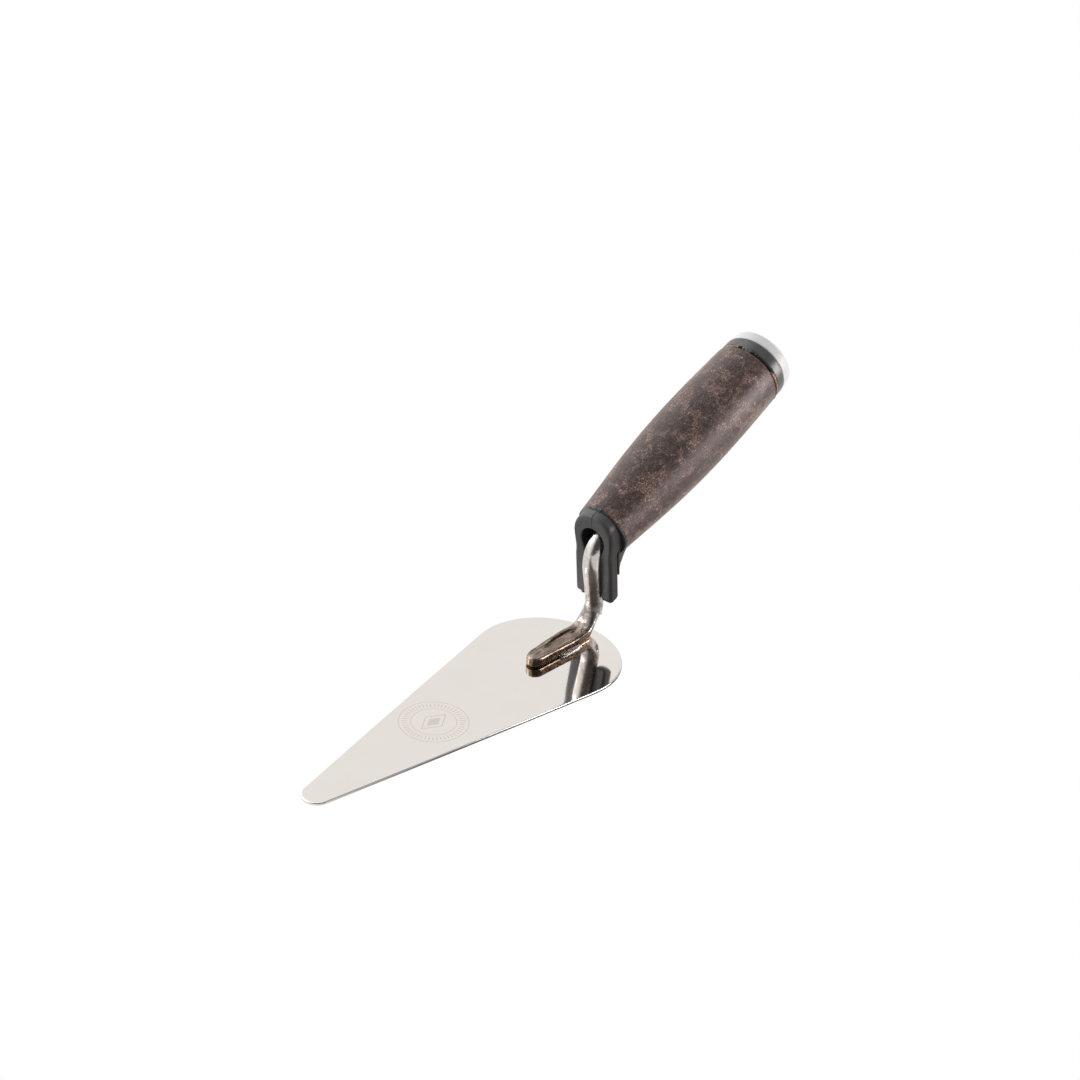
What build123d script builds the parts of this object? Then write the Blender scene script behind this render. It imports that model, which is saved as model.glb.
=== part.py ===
from build123d import *
import os
from math import sin, cos, tan, radians, sqrt, pi, atan2

# Brick trowel: a mirror-polished steel blade, a forged gooseneck shank welded
# on top of it, and a handle carried on the shank's tang.
# Units are millimetres. +Z is up, the blade lies flat on Z = 0 with its tip
# towards -X, the handle rises towards +X, and Y = 0 is the plane of symmetry.
# The origin is under the middle of the whole tool, on the plane it rests on.

# ------------------------------------------------------------------ dimensions
# blade
BLADE_LENGTH = 180.0        # tip to heel
BLADE_HALF_WIDTH = 33.6     # at the shoulders
BLADE_THICKNESS = 1.2
TIP_RADIUS = 6.45
FLANK_END_X = 130.0         # where the straight flank turns into the shoulder
FLANK_END_Y = 31.0
EDGE_ROUND = 0.3

# handle axis
HANDLE_ANGLE = 22.6         # degrees above the blade
AXIS_X = 218.5              # a point on the axis; s is measured from it
AXIS_Z = 67.0
GRIP_FRONT_S = -39.8
GRIP_REAR_S = 73.2
RING_REAR_S = 78.7
CAP_REAR_S = 84.7

# shank, one forging: foot, gooseneck and tang
ROD_RADIUS = 4.15
NECK_LEAN = 12.7            # degrees, neck leans back towards the heel
NECK_X0, NECK_Z0 = 175.7, 33.4
UPPER_BEND_RADIUS = 17.0
LOWER_BEND_RADIUS = 11.0
TANG_END_S = 38.0
FOOT_NOSE_X = 134.9
FOOT_WIDTH = 10.0
FOOT_TOP_Z = 6.3
FOOT_BACK_X = 169.0

# finger guard: an arch with two legs straddling the neck
GUARD_FACE_X0 = 181.47      # front face: X = GUARD_FACE_X0 - GUARD_FACE_SLOPE * Z
GUARD_FACE_SLOPE = 0.1458
GUARD_DEPTH = 5.6           # of the legs, along the handle axis
GUARD_HEAD_RADIUS = 10.7
GUARD_HEAD_V = 2.4          # head centre above the handle axis, in the face
GUARD_LEG_HALF = 10.2       # outer half width of the two legs
GUARD_WAIST_V = -7.0
GUARD_BOTTOM_V = -30.0
GUARD_EYE_RADIUS = 6.3      # round eye that the shank comes out of
GUARD_SLOT_HALF = 4.6       # half width of the gap between the legs
GUARD_EDGE = 1.2
GUARD_HEAD_LOW_V = -4.5     # the head is solid back to the collar above this

# ferrule collar behind the guard
COLLAR_PLATE = 1.3
COLLAR_SKIRT_V = -18.9
COLLAR_DISC_RADIUS = 12.9
COLLAR_DISC = 0.8
COLLAR_BORE = ROD_RADIUS    # tight on the shank

# handle core, grip, end ring, end cap
CORE_RADIUS = 9.0
CAP_SPIGOT_RADIUS = 6.0
CAP_SPIGOT = 16.0
GRIP_PROFILE = [(-39.8, 13.0), (-28.7, 14.06), (-17.2, 15.26), (-5.8, 16.30),
                (7.7, 17.20), (21.1, 17.75), (34.5, 17.90), (47.9, 17.76),
                (61.3, 17.42), (73.2, 17.05)]
GROOVE_S = 71.3             # narrow groove turned just before the rear end
GROOVE_WIDTH = 0.6
GROOVE_DEPTH = 1.0
GRIP_EDGE = 0.6
RING_RADIUS = 16.7
RING_EDGE = 0.5
CAP_RADIUS = 16.4
CAP_EDGE = 1.7
TAB_WIDTH = 3.2             # anti-rotation tabs on the end ring
TAB_LENGTH = 1.6
TAB_RADIAL = (13.2, 16.55)
TAB_ANGLES = (10.0, 100.0, 190.0, 280.0)  # degrees round the axis, from the top

# weld beads
WELD_X = (150.5, 165.5)
WELD_LEG = 2.2

# overall X range, used to set the origin under the middle of the tool
th = radians(HANDLE_ANGLE)
AX = Vector(cos(th), 0, sin(th))       # along the handle, towards the butt
UP = Vector(-sin(th), 0, cos(th))      # across the handle, upwards
X_MAX = AXIS_X + (CAP_REAR_S - CAP_EDGE) * cos(th) + (CAP_RADIUS - CAP_EDGE) * sin(th) + CAP_EDGE
SHIFT_X = -X_MAX / 2.0


def on_axis(s, u=0.0, y=0.0):
    return Vector(AXIS_X, 0, AXIS_Z) + AX * s + UP * u + Vector(0, y, 0)


def axis_plane(s):
    # local x is +Y, local y is up across the handle, local z is along it
    return Plane(origin=on_axis(s), x_dir=(0, 1, 0), z_dir=(AX.X, AX.Y, AX.Z))


def turned(points):
    # solid of revolution about the handle axis from (s, radius) points
    pl = Plane(origin=on_axis(0), x_dir=(AX.X, AX.Y, AX.Z), z_dir=(0, -1, 0))
    with BuildPart() as bp:
        with BuildSketch(pl):
            with BuildLine():
                Polyline(*points, close=True)
            make_face()
        revolve(axis=Axis(origin=on_axis(0), direction=AX), revolution_arc=360)
    return bp.part


parts = {}

# ----------------------------------------------------------------------- blade
slope = (FLANK_END_Y - 7.76) / (FLANK_END_X - 12.45)
ang = atan2(slope, 1.0)
tip_tx = TIP_RADIUS * (1 - sin(ang))
tip_ty = TIP_RADIUS * cos(ang)
mid_x, mid_y = (tip_tx + FLANK_END_X) / 2, (tip_ty + FLANK_END_Y) / 2 + 0.2
heel_pts = [(FLANK_END_X, FLANK_END_Y), (150.5, BLADE_HALF_WIDTH), (163.4, 29.4),
            (172.9, 21.0), (178.6, 9.6), (BLADE_LENGTH, 0)]
with BuildPart() as blade_b:
    with BuildSketch(Plane.XY):
        with BuildLine():
            ThreePointArc((tip_tx, tip_ty), (0, 0), (tip_tx, -tip_ty))
            ThreePointArc((tip_tx, tip_ty), (mid_x, mid_y), (FLANK_END_X, FLANK_END_Y))
            ThreePointArc((tip_tx, -tip_ty), (mid_x, -mid_y), (FLANK_END_X, -FLANK_END_Y))
            Spline(*heel_pts, tangents=[(1, slope * 0.98), (0, -1)])
            Spline(*[(x, -y) for x, y in heel_pts], tangents=[(1, -slope * 0.98), (0, 1)])
        make_face()
    extrude(amount=BLADE_THICKNESS)
    top = blade_b.faces().sort_by(Axis.Z)[-1]
    fillet(top.edges(), radius=EDGE_ROUND)
blade = blade_b.part
parts["blade"] = blade

# ----------------------------------------------------------------------- shank
# neck centreline: handle axis, upper bend, leaning neck, lower bend, foot
lean = radians(NECK_LEAN)
neck_dir = Vector(sin(lean), 0, -cos(lean))          # down and back
# vertex of the upper bend: handle axis meets the neck line
# (AXIS_X + s cos, AXIS_Z + s sin) = (NECK_X0 + t sin(lean), NECK_Z0 - t cos(lean))
den = cos(th) * cos(lean) + sin(th) * sin(lean)
s_v = ((NECK_X0 - AXIS_X) * cos(lean) + (NECK_Z0 - AXIS_Z) * sin(lean)) / den
V1 = on_axis(s_v)
ROD_FLOOR_Z = BLADE_THICKNESS + ROD_RADIUS
t_v = (V1.Z - ROD_FLOOR_Z) / cos(lean)
V2 = V1 + neck_dir * t_v
# angle between incoming (-AX) and neck_dir
c1 = (-AX).dot(neck_dir)
a1 = pi / 2 - atan2(c1, sqrt(max(0, 1 - c1 * c1)))
tan1 = UPPER_BEND_RADIUS * tan(a1 / 2)
P1a = V1 + AX * tan1
P1b = V1 + neck_dir * tan1
fwd = Vector(-1, 0, 0)
c2 = neck_dir.dot(fwd)
a2 = pi / 2 - atan2(c2, sqrt(max(0, 1 - c2 * c2)))
tan2 = LOWER_BEND_RADIUS * tan(a2 / 2)
P2a = V2 - neck_dir * tan2
P2b = V2 + fwd * tan2


def arc_mid(P_in, V, P_out, R, a):
    bis = ((P_in - V).normalized() + (P_out - V).normalized()).normalized()
    return V + bis * (R / cos(a / 2) - R)


M1 = arc_mid(P1a, V1, P1b, UPPER_BEND_RADIUS, a1)
T_end = on_axis(TANG_END_S)
with BuildPart() as rod_b:
    with BuildLine():
        Line(T_end, P1a)
        ThreePointArc(P1a, M1, P1b)
        Line(P1b, P2a)
    with BuildSketch(Plane(origin=T_end, z_dir=(-AX.X, -AX.Y, -AX.Z))):
        Circle(ROD_RADIUS)
    sweep()
rod = rod_b.part

# lower bend: the round rod is worked down to the flat foot over the bend
n_in = Vector(-neck_dir.Z, 0, neck_dir.X) * -1        # towards the bend centre
cand = P2a + n_in * LOWER_BEND_RADIUS
if (cand - P2b).length > LOWER_BEND_RADIUS * 1.05:
    n_in = n_in * -1
    cand = P2a + n_in * LOWER_BEND_RADIUS
O2 = cand
STEPS = 6
sections = []
for i in range(STEPS + 1):
    f = i / STEPS
    g = f * f * (3 - 2 * f)
    phi = a2 * f
    # radial direction rotates from P2a to P2b about the bend centre
    r0 = (P2a - O2).normalized()
    t0 = neck_dir
    rad = r0 * cos(phi) + t0 * sin(phi)
    tan_d = r0 * -sin(phi) + t0 * cos(phi)
    half_h = ROD_RADIUS + (2.65 - ROD_RADIUS) * g
    half_w = ROD_RADIUS + (4.95 - ROD_RADIUS) * g
    # the outer skin keeps the rod's radius, so the section's centre moves out
    ctr = O2 + rad * (LOWER_BEND_RADIUS + ROD_RADIUS - half_h)
    pl = Plane(origin=ctr, x_dir=(0, 1, 0), z_dir=(tan_d.X, tan_d.Y, tan_d.Z))
    with BuildSketch(pl) as sk:
        Ellipse(half_w, half_h)
    sections.append(sk.sketch)
# one more section inside the foot
end_x = FOOT_BACK_X - 8
pl = Plane(origin=(end_x, 0, BLADE_THICKNESS + 2.6), x_dir=(0, 1, 0), z_dir=(-1, 0, 0))
with BuildSketch(pl) as sk:
    Ellipse(4.9, 2.58)
sections.append(sk.sketch)
with BuildPart() as bend_b:
    loft(sections=sections)
bend = bend_b.part

# foot: a flat bar with a round nose, lying on the blade
fz0 = BLADE_THICKNESS
with BuildPart() as foot_b:
    with BuildSketch(Plane.XY.offset(fz0)):
        with BuildLine():
            hw = FOOT_WIDTH / 2
            nr = 4.3
            Polyline((FOOT_NOSE_X + nr, nr - 0.05), (FOOT_NOSE_X + 14, hw - 0.25), (FOOT_BACK_X - 4, hw),
                     (FOOT_BACK_X, hw - 1.2), (FOOT_BACK_X, -hw + 1.2), (FOOT_BACK_X - 4, -hw),
                     (FOOT_NOSE_X + 14, -hw + 0.25), (FOOT_NOSE_X + nr, -nr + 0.05))
            ThreePointArc((FOOT_NOSE_X + nr, nr - 0.05), (FOOT_NOSE_X, 0), (FOOT_NOSE_X + nr, -nr + 0.05))
        make_face()
    extrude(amount=FOOT_TOP_Z - fz0)
    ftop = foot_b.faces().sort_by(Axis.Z)[-1]
    fillet(ftop.edges(), radius=1.0)
foot = foot_b.part
shank = (rod + bend + foot)
# clear the blade's top face exactly
shank = shank - Pos(160, 0, BLADE_THICKNESS - 5) * Box(120, 60, 10)
parts["shank"] = shank

# ----------------------------------------------------------------- weld beads
def side_bead(sign):
    # a fillet bead of overlapping humps along the foot's side
    bead = None
    x0, x1 = WELD_X
    n = 7
    for i in range(n):
        x = x0 + (x1 - x0) * (i + 0.5) / n
        e = Pos(x, sign * (FOOT_WIDTH / 2 - 0.2), BLADE_THICKNESS) * Sphere(
            WELD_LEG * (0.92 + 0.08 * ((i * 5) % 3)))
        bead = e if bead is None else bead + e
    bead = bead - Pos(160, 0, BLADE_THICKNESS - 5) * Box(120, 60, 10)
    bead = bead - shank
    return bead


def outer_solid(shape):
    # keep the one outer piece after the trim
    sols = sorted(shape.solids(), key=lambda q: q.volume)
    return sols[-1]


parts["weld_bead_left"] = outer_solid(side_bead(-1))
parts["weld_bead_right"] = outer_solid(side_bead(1))

heel = None
for i in range(5):
    y = -3.6 + 1.8 * i
    e = Pos(FOOT_BACK_X + 4.6 - 0.12 * y * y, y, BLADE_THICKNESS) * Sphere(1.55)
    heel = e if heel is None else heel + e
heel = heel - Pos(160, 0, BLADE_THICKNESS - 5) * Box(120, 60, 10)
heel = heel - shank
parts["heel_weld"] = outer_solid(heel)

# --------------------------------------------------------------- finger guard
nrm = Vector(1, 0, GUARD_FACE_SLOPE).normalized()
vup = Vector(-GUARD_FACE_SLOPE, 0, 1).normalized()
# where the handle axis goes through the front face
s_face = (GUARD_FACE_X0 - GUARD_FACE_SLOPE * AXIS_Z - AXIS_X) / (
    AX.X + GUARD_FACE_SLOPE * AX.Z)
FACE0 = on_axis(s_face)


def face_plane(ds=0.0):
    o = FACE0 + AX * ds
    return Plane(origin=o, x_dir=(0, 1, 0), z_dir=(nrm.X, 0, nrm.Z))


def guard_outline(head_r, leg_half, waist_v, bottom_v, bottom_round=1.6):
    c = GUARD_HEAD_V
    # the head circle ends at the waist, where a soft S brings it to the legs
    a_end = radians(-25)
    hx, hv = head_r * cos(a_end), c + head_r * sin(a_end)
    with BuildLine() as bl:
        ThreePointArc((hx, hv), (0, c + head_r), (-hx, hv))
        Spline((hx, hv), (leg_half, waist_v), tangents=[(-0.30, -1), (0, -1)])
        Spline((-hx, hv), (-leg_half, waist_v), tangents=[(0.30, -1), (0, -1)])
        Line((leg_half, waist_v), (leg_half, bottom_v))
        Line((-leg_half, waist_v), (-leg_half, bottom_v))
        Line((leg_half, bottom_v), (-leg_half, bottom_v))
    return bl


def oblique(ds0, ds1, outline):
    # push a profile on the leaning face along the handle axis
    with BuildPart() as bp:
        with BuildSketch(face_plane(ds0)) as sk:
            add(outline.line)
            make_face()
        extrude(amount=ds1 - ds0, dir=(AX.X, AX.Y, AX.Z))
    return bp.part


guard = oblique(0, GUARD_DEPTH, guard_outline(GUARD_HEAD_RADIUS, GUARD_LEG_HALF,
                                              GUARD_WAIST_V, GUARD_BOTTOM_V))
# the head alone, running all the way back to the collar's disc
head = oblique(0, 14, guard_outline(GUARD_HEAD_RADIUS, GUARD_LEG_HALF, GUARD_WAIST_V, GUARD_WAIST_V - 2))
with BuildPart() as lowbox:
    # everything below a plane that follows the handle axis
    pl_low = Plane(origin=FACE0 + vup * GUARD_HEAD_LOW_V - AX * 20, x_dir=(AX.X, AX.Y, AX.Z),
                   z_dir=(-UP.X, 0, -UP.Z))
    with BuildSketch(pl_low):
        Rectangle(160, 80)
    extrude(amount=40)
head = head - lowbox.part
head = head - turned([(GRIP_FRONT_S - COLLAR_DISC, 0), (GRIP_FRONT_S - COLLAR_DISC, 40),
                      (GRIP_FRONT_S + 20, 40), (GRIP_FRONT_S + 20, 0)])
guard = guard + head


def keyhole(ds0, ds1, eye_r, slot_half, bottom_v, top_v=-3.4):
    with BuildPart() as bp:
        with BuildSketch(face_plane(ds0)):
            Circle(eye_r)
        extrude(amount=ds1 - ds0, dir=(AX.X, AX.Y, AX.Z))
    with BuildPart() as bq:
        with BuildSketch(face_plane(ds0)):
            with Locations((0, (top_v + bottom_v) / 2)):
                Rectangle(2 * slot_half, top_v - bottom_v)
        extrude(amount=ds1 - ds0, dir=(AX.X, AX.Y, AX.Z))
    return bp.part + bq.part


guard = guard - keyhole(-1, 16, GUARD_EYE_RADIUS, GUARD_SLOT_HALF, GUARD_BOTTOM_V - 2)
front_edges = [e for e in guard.edges()
               if abs((e.center() - FACE0).dot(nrm)) < 0.02]
outer_front = front_edges
try:
    guard = fillet(outer_front, radius=GUARD_EDGE)
except Exception as err:
    print("guard front edge left sharp:", err)
parts["finger_guard"] = guard

# ------------------------------------------------------------- ferrule collar
plate = oblique(GUARD_DEPTH, GUARD_DEPTH + COLLAR_PLATE,
                guard_outline(GUARD_HEAD_RADIUS - 0.1, GUARD_LEG_HALF + 0.1, GUARD_WAIST_V,
                              COLLAR_SKIRT_V))
with BuildPart() as sl:
    with BuildSketch(face_plane(GUARD_DEPTH - 1)):
        with Locations((0, -17)):
            Rectangle(2 * GUARD_SLOT_HALF, 20)
    extrude(amount=COLLAR_PLATE + 2, dir=(AX.X, AX.Y, AX.Z))
plate = plate - sl.part
# body between the leaning plate and the disc that closes the grip
boss = turned([(s_face + GUARD_DEPTH - 4, 0), (s_face + GUARD_DEPTH - 4, 9.6),
               (GRIP_FRONT_S - COLLAR_DISC, 9.6), (GRIP_FRONT_S - COLLAR_DISC, 0)])
# cut what stands in front of the plate
cut_box = Plane(origin=FACE0 + AX * (GUARD_DEPTH + 0.001), x_dir=(0, -1, 0),
                z_dir=(-nrm.X, 0, -nrm.Z))
with BuildPart() as cb:
    with BuildSketch(cut_box):
        Rectangle(80, 120)
    extrude(amount=40)
boss = boss - cb.part
disc = turned([(GRIP_FRONT_S - COLLAR_DISC, 0), (GRIP_FRONT_S - COLLAR_DISC, COLLAR_DISC_RADIUS - 0.4),
               (GRIP_FRONT_S - COLLAR_DISC + 0.4, COLLAR_DISC_RADIUS),
               (GRIP_FRONT_S, COLLAR_DISC_RADIUS), (GRIP_FRONT_S, 0)])
rear_cut = turned([(GRIP_FRONT_S, 0), (GRIP_FRONT_S, 40), (GRIP_FRONT_S + 20, 40), (GRIP_FRONT_S + 20, 0)])
collar = (plate + boss + disc) - rear_cut
collar = collar - guard
collar = collar - turned([(-70, 0), (-70, COLLAR_BORE), (0, COLLAR_BORE), (0, 0)])
collar = collar - rod
collar = outer_solid(collar)
parts["ferrule_collar"] = collar

# the guard's head runs back to the collar's disc: trim it there
guard_trim = turned([(GRIP_FRONT_S - COLLAR_DISC, 0), (GRIP_FRONT_S - COLLAR_DISC, 40),
                     (GRIP_FRONT_S + 20, 40), (GRIP_FRONT_S + 20, 0)])
guard = guard - guard_trim
parts["finger_guard"] = outer_solid(guard)

# ---------------------------------------------------------------- handle core
core = turned([(GRIP_FRONT_S, 0), (GRIP_FRONT_S, CORE_RADIUS), (GRIP_REAR_S, CORE_RADIUS), (GRIP_REAR_S, 0)])
core = core - turned([(GRIP_FRONT_S - 1, 0), (GRIP_FRONT_S - 1, ROD_RADIUS), (TANG_END_S, ROD_RADIUS), (TANG_END_S, 0)])
core = core - turned([(GRIP_REAR_S - CAP_SPIGOT + (RING_REAR_S - GRIP_REAR_S), 0),
                      (GRIP_REAR_S - CAP_SPIGOT + (RING_REAR_S - GRIP_REAR_S), CAP_SPIGOT_RADIUS),
                      (GRIP_REAR_S + 1, CAP_SPIGOT_RADIUS), (GRIP_REAR_S + 1, 0)])
core = core - rod
parts["handle_core"] = outer_solid(core)

# ------------------------------------------------------------------------ grip
pl_grip = Plane(origin=on_axis(0), x_dir=(AX.X, AX.Y, AX.Z), z_dir=(0, -1, 0))
gp = GRIP_PROFILE
with BuildPart() as grip_b:
    with BuildSketch(pl_grip):
        with BuildLine():
            Spline(*gp)
            Polyline(gp[0], (gp[0][0], CORE_RADIUS), (gp[-1][0], CORE_RADIUS), gp[-1])
        make_face()
    revolve(axis=Axis(origin=on_axis(0), direction=AX), revolution_arc=360)
grip = grip_b.part
ends = [e for e in grip.edges().filter_by(GeomType.CIRCLE)
        if e.radius > CORE_RADIUS + 1]
grip = fillet(ends, radius=GRIP_EDGE)
groove_r = 17.1
grip = grip - turned([(GROOVE_S, groove_r - GROOVE_DEPTH), (GROOVE_S + GROOVE_WIDTH, groove_r - GROOVE_DEPTH),
                      (GROOVE_S + GROOVE_WIDTH, 25), (GROOVE_S, 25)])

# -------------------------------------------------------------------- end ring
ring = turned([(GRIP_REAR_S, 0), (GRIP_REAR_S, RING_RADIUS - RING_EDGE), (GRIP_REAR_S + RING_EDGE, RING_RADIUS),
               (RING_REAR_S - RING_EDGE, RING_RADIUS), (RING_REAR_S, RING_RADIUS - RING_EDGE), (RING_REAR_S, 0)])
ring = ring - turned([(GRIP_REAR_S - 1, 0), (GRIP_REAR_S - 1, CAP_SPIGOT_RADIUS),
                      (RING_REAR_S + 1, CAP_SPIGOT_RADIUS), (RING_REAR_S + 1, 0)])
for a in TAB_ANGLES:
    rm = (TAB_RADIAL[0] + TAB_RADIAL[1]) / 2
    rl = TAB_RADIAL[1] - TAB_RADIAL[0]
    for grow, target in ((0.0, "ring"), (0.0, "grip")):
        base = axis_plane(GRIP_REAR_S - TAB_LENGTH / 2)
        loc = base.location * Rot(0, 0, a) * Pos(0, rm, 0)
        if target == "ring":
            ring = ring + loc * Box(TAB_WIDTH, rl, TAB_LENGTH + 0.0)
        else:
            notch = loc * Pos(0, 2, 0) * Box(TAB_WIDTH, rl + 4, TAB_LENGTH)
            grip = grip - notch
parts["grip"] = outer_solid(grip)
parts["end_ring"] = outer_solid(ring)

# --------------------------------------------------------------------- end cap
n = 8
edge = [(CAP_REAR_S - CAP_EDGE + CAP_EDGE * sin(pi / 2 * i / n),
         CAP_RADIUS - CAP_EDGE + CAP_EDGE * cos(pi / 2 * i / n)) for i in range(n + 1)]
cap = turned([(RING_REAR_S, 0), (RING_REAR_S, CAP_RADIUS)] + edge + [(CAP_REAR_S, 0)])
cap = cap + turned([(RING_REAR_S - CAP_SPIGOT, 0), (RING_REAR_S - CAP_SPIGOT, CAP_SPIGOT_RADIUS),
                    (RING_REAR_S, CAP_SPIGOT_RADIUS), (RING_REAR_S, 0)])
parts["end_cap"] = cap

# --------------------------------------------------------------------- export
os.makedirs("parts", exist_ok=True)
for name, shape in parts.items():
    moved = Pos(SHIFT_X, 0, 0) * shape
    moved.label = name
    export_step(moved, "parts/" + name + ".step")
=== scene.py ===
import bpy
import math
import random
import numpy as np
from mathutils import Vector, Matrix, noise


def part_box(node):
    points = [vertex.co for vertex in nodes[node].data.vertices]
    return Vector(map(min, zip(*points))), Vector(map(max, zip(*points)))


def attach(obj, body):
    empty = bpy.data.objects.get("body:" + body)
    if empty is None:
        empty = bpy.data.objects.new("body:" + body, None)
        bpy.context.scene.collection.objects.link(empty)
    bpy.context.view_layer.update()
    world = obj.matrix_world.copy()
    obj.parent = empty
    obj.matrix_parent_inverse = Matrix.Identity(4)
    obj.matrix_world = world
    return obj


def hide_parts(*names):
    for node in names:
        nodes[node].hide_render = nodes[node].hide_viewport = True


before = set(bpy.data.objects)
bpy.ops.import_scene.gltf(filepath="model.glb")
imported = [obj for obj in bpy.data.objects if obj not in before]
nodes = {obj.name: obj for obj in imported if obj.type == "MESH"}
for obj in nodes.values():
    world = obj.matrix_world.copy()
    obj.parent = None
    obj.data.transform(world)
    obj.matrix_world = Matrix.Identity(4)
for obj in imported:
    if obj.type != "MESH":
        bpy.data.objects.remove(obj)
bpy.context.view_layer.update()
TIP_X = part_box("blade")[0].x            # the blade's tip, in metres
MM = 0.001
PI = math.pi

# ---------------------------------------------------------------- dimensions
# millimetres, measured from the blade's tip, as in the CAD
TH = math.radians(22.6)
AX = np.array([math.cos(TH), 0.0, math.sin(TH)])
UP = np.array([-math.sin(TH), 0.0, math.cos(TH)])
YV = np.array([0.0, 1.0, 0.0])
A0 = np.array([218.5, 0.0, 67.0])
BLADE_T = 1.2
rng = random.Random(7)

# studio levels
FLOOR_BOUNCE = (0.92, 0.12)
SKY_BASE = 0.07
SKY_BACK = (0.10, 0.62, 0.0, 0.86)
SKY_TOP = 0.45
SKY_LEFT = (0.30, 0.90, 0.0, 1.05)
SKY_RIGHT = (0.86, 0.98, 0.0, 1.0)
SKY_CEIL = 0.22
RIGHT_POWER = 12.0
TOP_POWER = 1.9
LEFT_POWER = 3.9


def row(p):
    return (TIP_X + p[0] * MM, p[1] * MM, p[2] * MM)


def sm(a, b, x):
    t = min(1.0, max(0.0, (x - a) / (b - a)))
    return t * t * (3 - 2 * t)


def make(name, verts, faces, mat, smooth=True, replaces=(), merge=0.0, sharp=None):
    me = bpy.data.meshes.new(name)
    me.from_pydata([row(v) for v in verts], [], faces)
    me.update()
    ob = bpy.data.objects.new(name, me)
    bpy.context.scene.collection.objects.link(ob)
    import bmesh
    bm = bmesh.new()
    bm.from_mesh(me)
    if merge:
        bmesh.ops.remove_doubles(bm, verts=bm.verts, dist=merge * MM)
        bmesh.ops.dissolve_degenerate(bm, dist=merge * MM * 0.5, edges=bm.edges)
    bmesh.ops.recalc_face_normals(bm, faces=bm.faces)
    bm.to_mesh(me)
    bm.free()
    for p in me.polygons:
        p.use_smooth = smooth
    if sharp is not None:
        me.set_sharp_from_angle(angle=math.radians(sharp))
    me.materials.append(mat)
    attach(ob, "root")
    if replaces:
        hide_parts(*replaces)
    return ob


def skin(rings, close=True, cap0=True, cap1=True):
    """verts and quads for a stack of rings of equal length."""
    m = len(rings[0])
    verts, faces = [], []
    for r in rings:
        verts += [tuple(p) for p in r]
    for i in range(len(rings) - 1):
        for j in range(m if close else m - 1):
            k = (j + 1) % m
            faces.append((i * m + j, i * m + k, (i + 1) * m + k, (i + 1) * m + j))
    if cap0:
        faces.append(tuple(range(m)))
    if cap1:
        faces.append(tuple(range((len(rings) - 1) * m, len(rings) * m)))
    return verts, faces


def turned(profile, cols, radius_fn=None, closed=False):
    """rings about the handle axis; profile is a list of (s, r)."""
    rings = []
    for s, r in profile:
        ring = []
        for a in cols:
            rr = r if radius_fn is None else radius_fn(s, r, a)
            d = UP * math.cos(a) - YV * math.sin(a)
            ring.append(A0 + AX * s + d * rr)
        rings.append(ring)
    return rings


def cubic(points, t0=None, t1=None):
    """interpolating cubic through 2-D points, chord-length parameter, clamped where a tangent is given."""
    P = np.array(points, float)
    h = np.linalg.norm(np.diff(P, axis=0), axis=1)
    u = np.concatenate([[0], np.cumsum(h)])
    n = len(P)
    A = np.zeros((n, n))
    B = np.zeros((n, P.shape[1]))
    for i in range(1, n - 1):
        A[i, i - 1] = h[i]
        A[i, i] = 2 * (h[i - 1] + h[i])
        A[i, i + 1] = h[i - 1]
        B[i] = 3 * (h[i] * (P[i] - P[i - 1]) / h[i - 1] + h[i - 1] * (P[i + 1] - P[i]) / h[i])
    if t0 is not None:
        A[0, 0] = 1
        B[0] = np.array(t0, float) / np.linalg.norm(t0)
    else:
        A[0, 0], A[0, 1] = 2, 1
        B[0] = 3 * (P[1] - P[0]) / h[0]
    if t1 is not None:
        A[-1, -1] = 1
        B[-1] = np.array(t1, float) / np.linalg.norm(t1)
    else:
        A[-1, -1], A[-1, -2] = 2, 1
        B[-1] = 3 * (P[-1] - P[-2]) / h[-1]
    M = np.linalg.solve(A, B)

    def f(x):
        x = min(max(x, 0), u[-1])
        i = min(int(np.searchsorted(u, x, side="right")) - 1, n - 2)
        i = max(i, 0)
        t = (x - u[i]) / h[i]
        return ((2 * t ** 3 - 3 * t ** 2 + 1) * P[i] + (t ** 3 - 2 * t ** 2 + t) * h[i] * M[i]
                + (-2 * t ** 3 + 3 * t ** 2) * P[i + 1] + (t ** 3 - t ** 2) * h[i] * M[i + 1])
    return f, u[-1]


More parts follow.
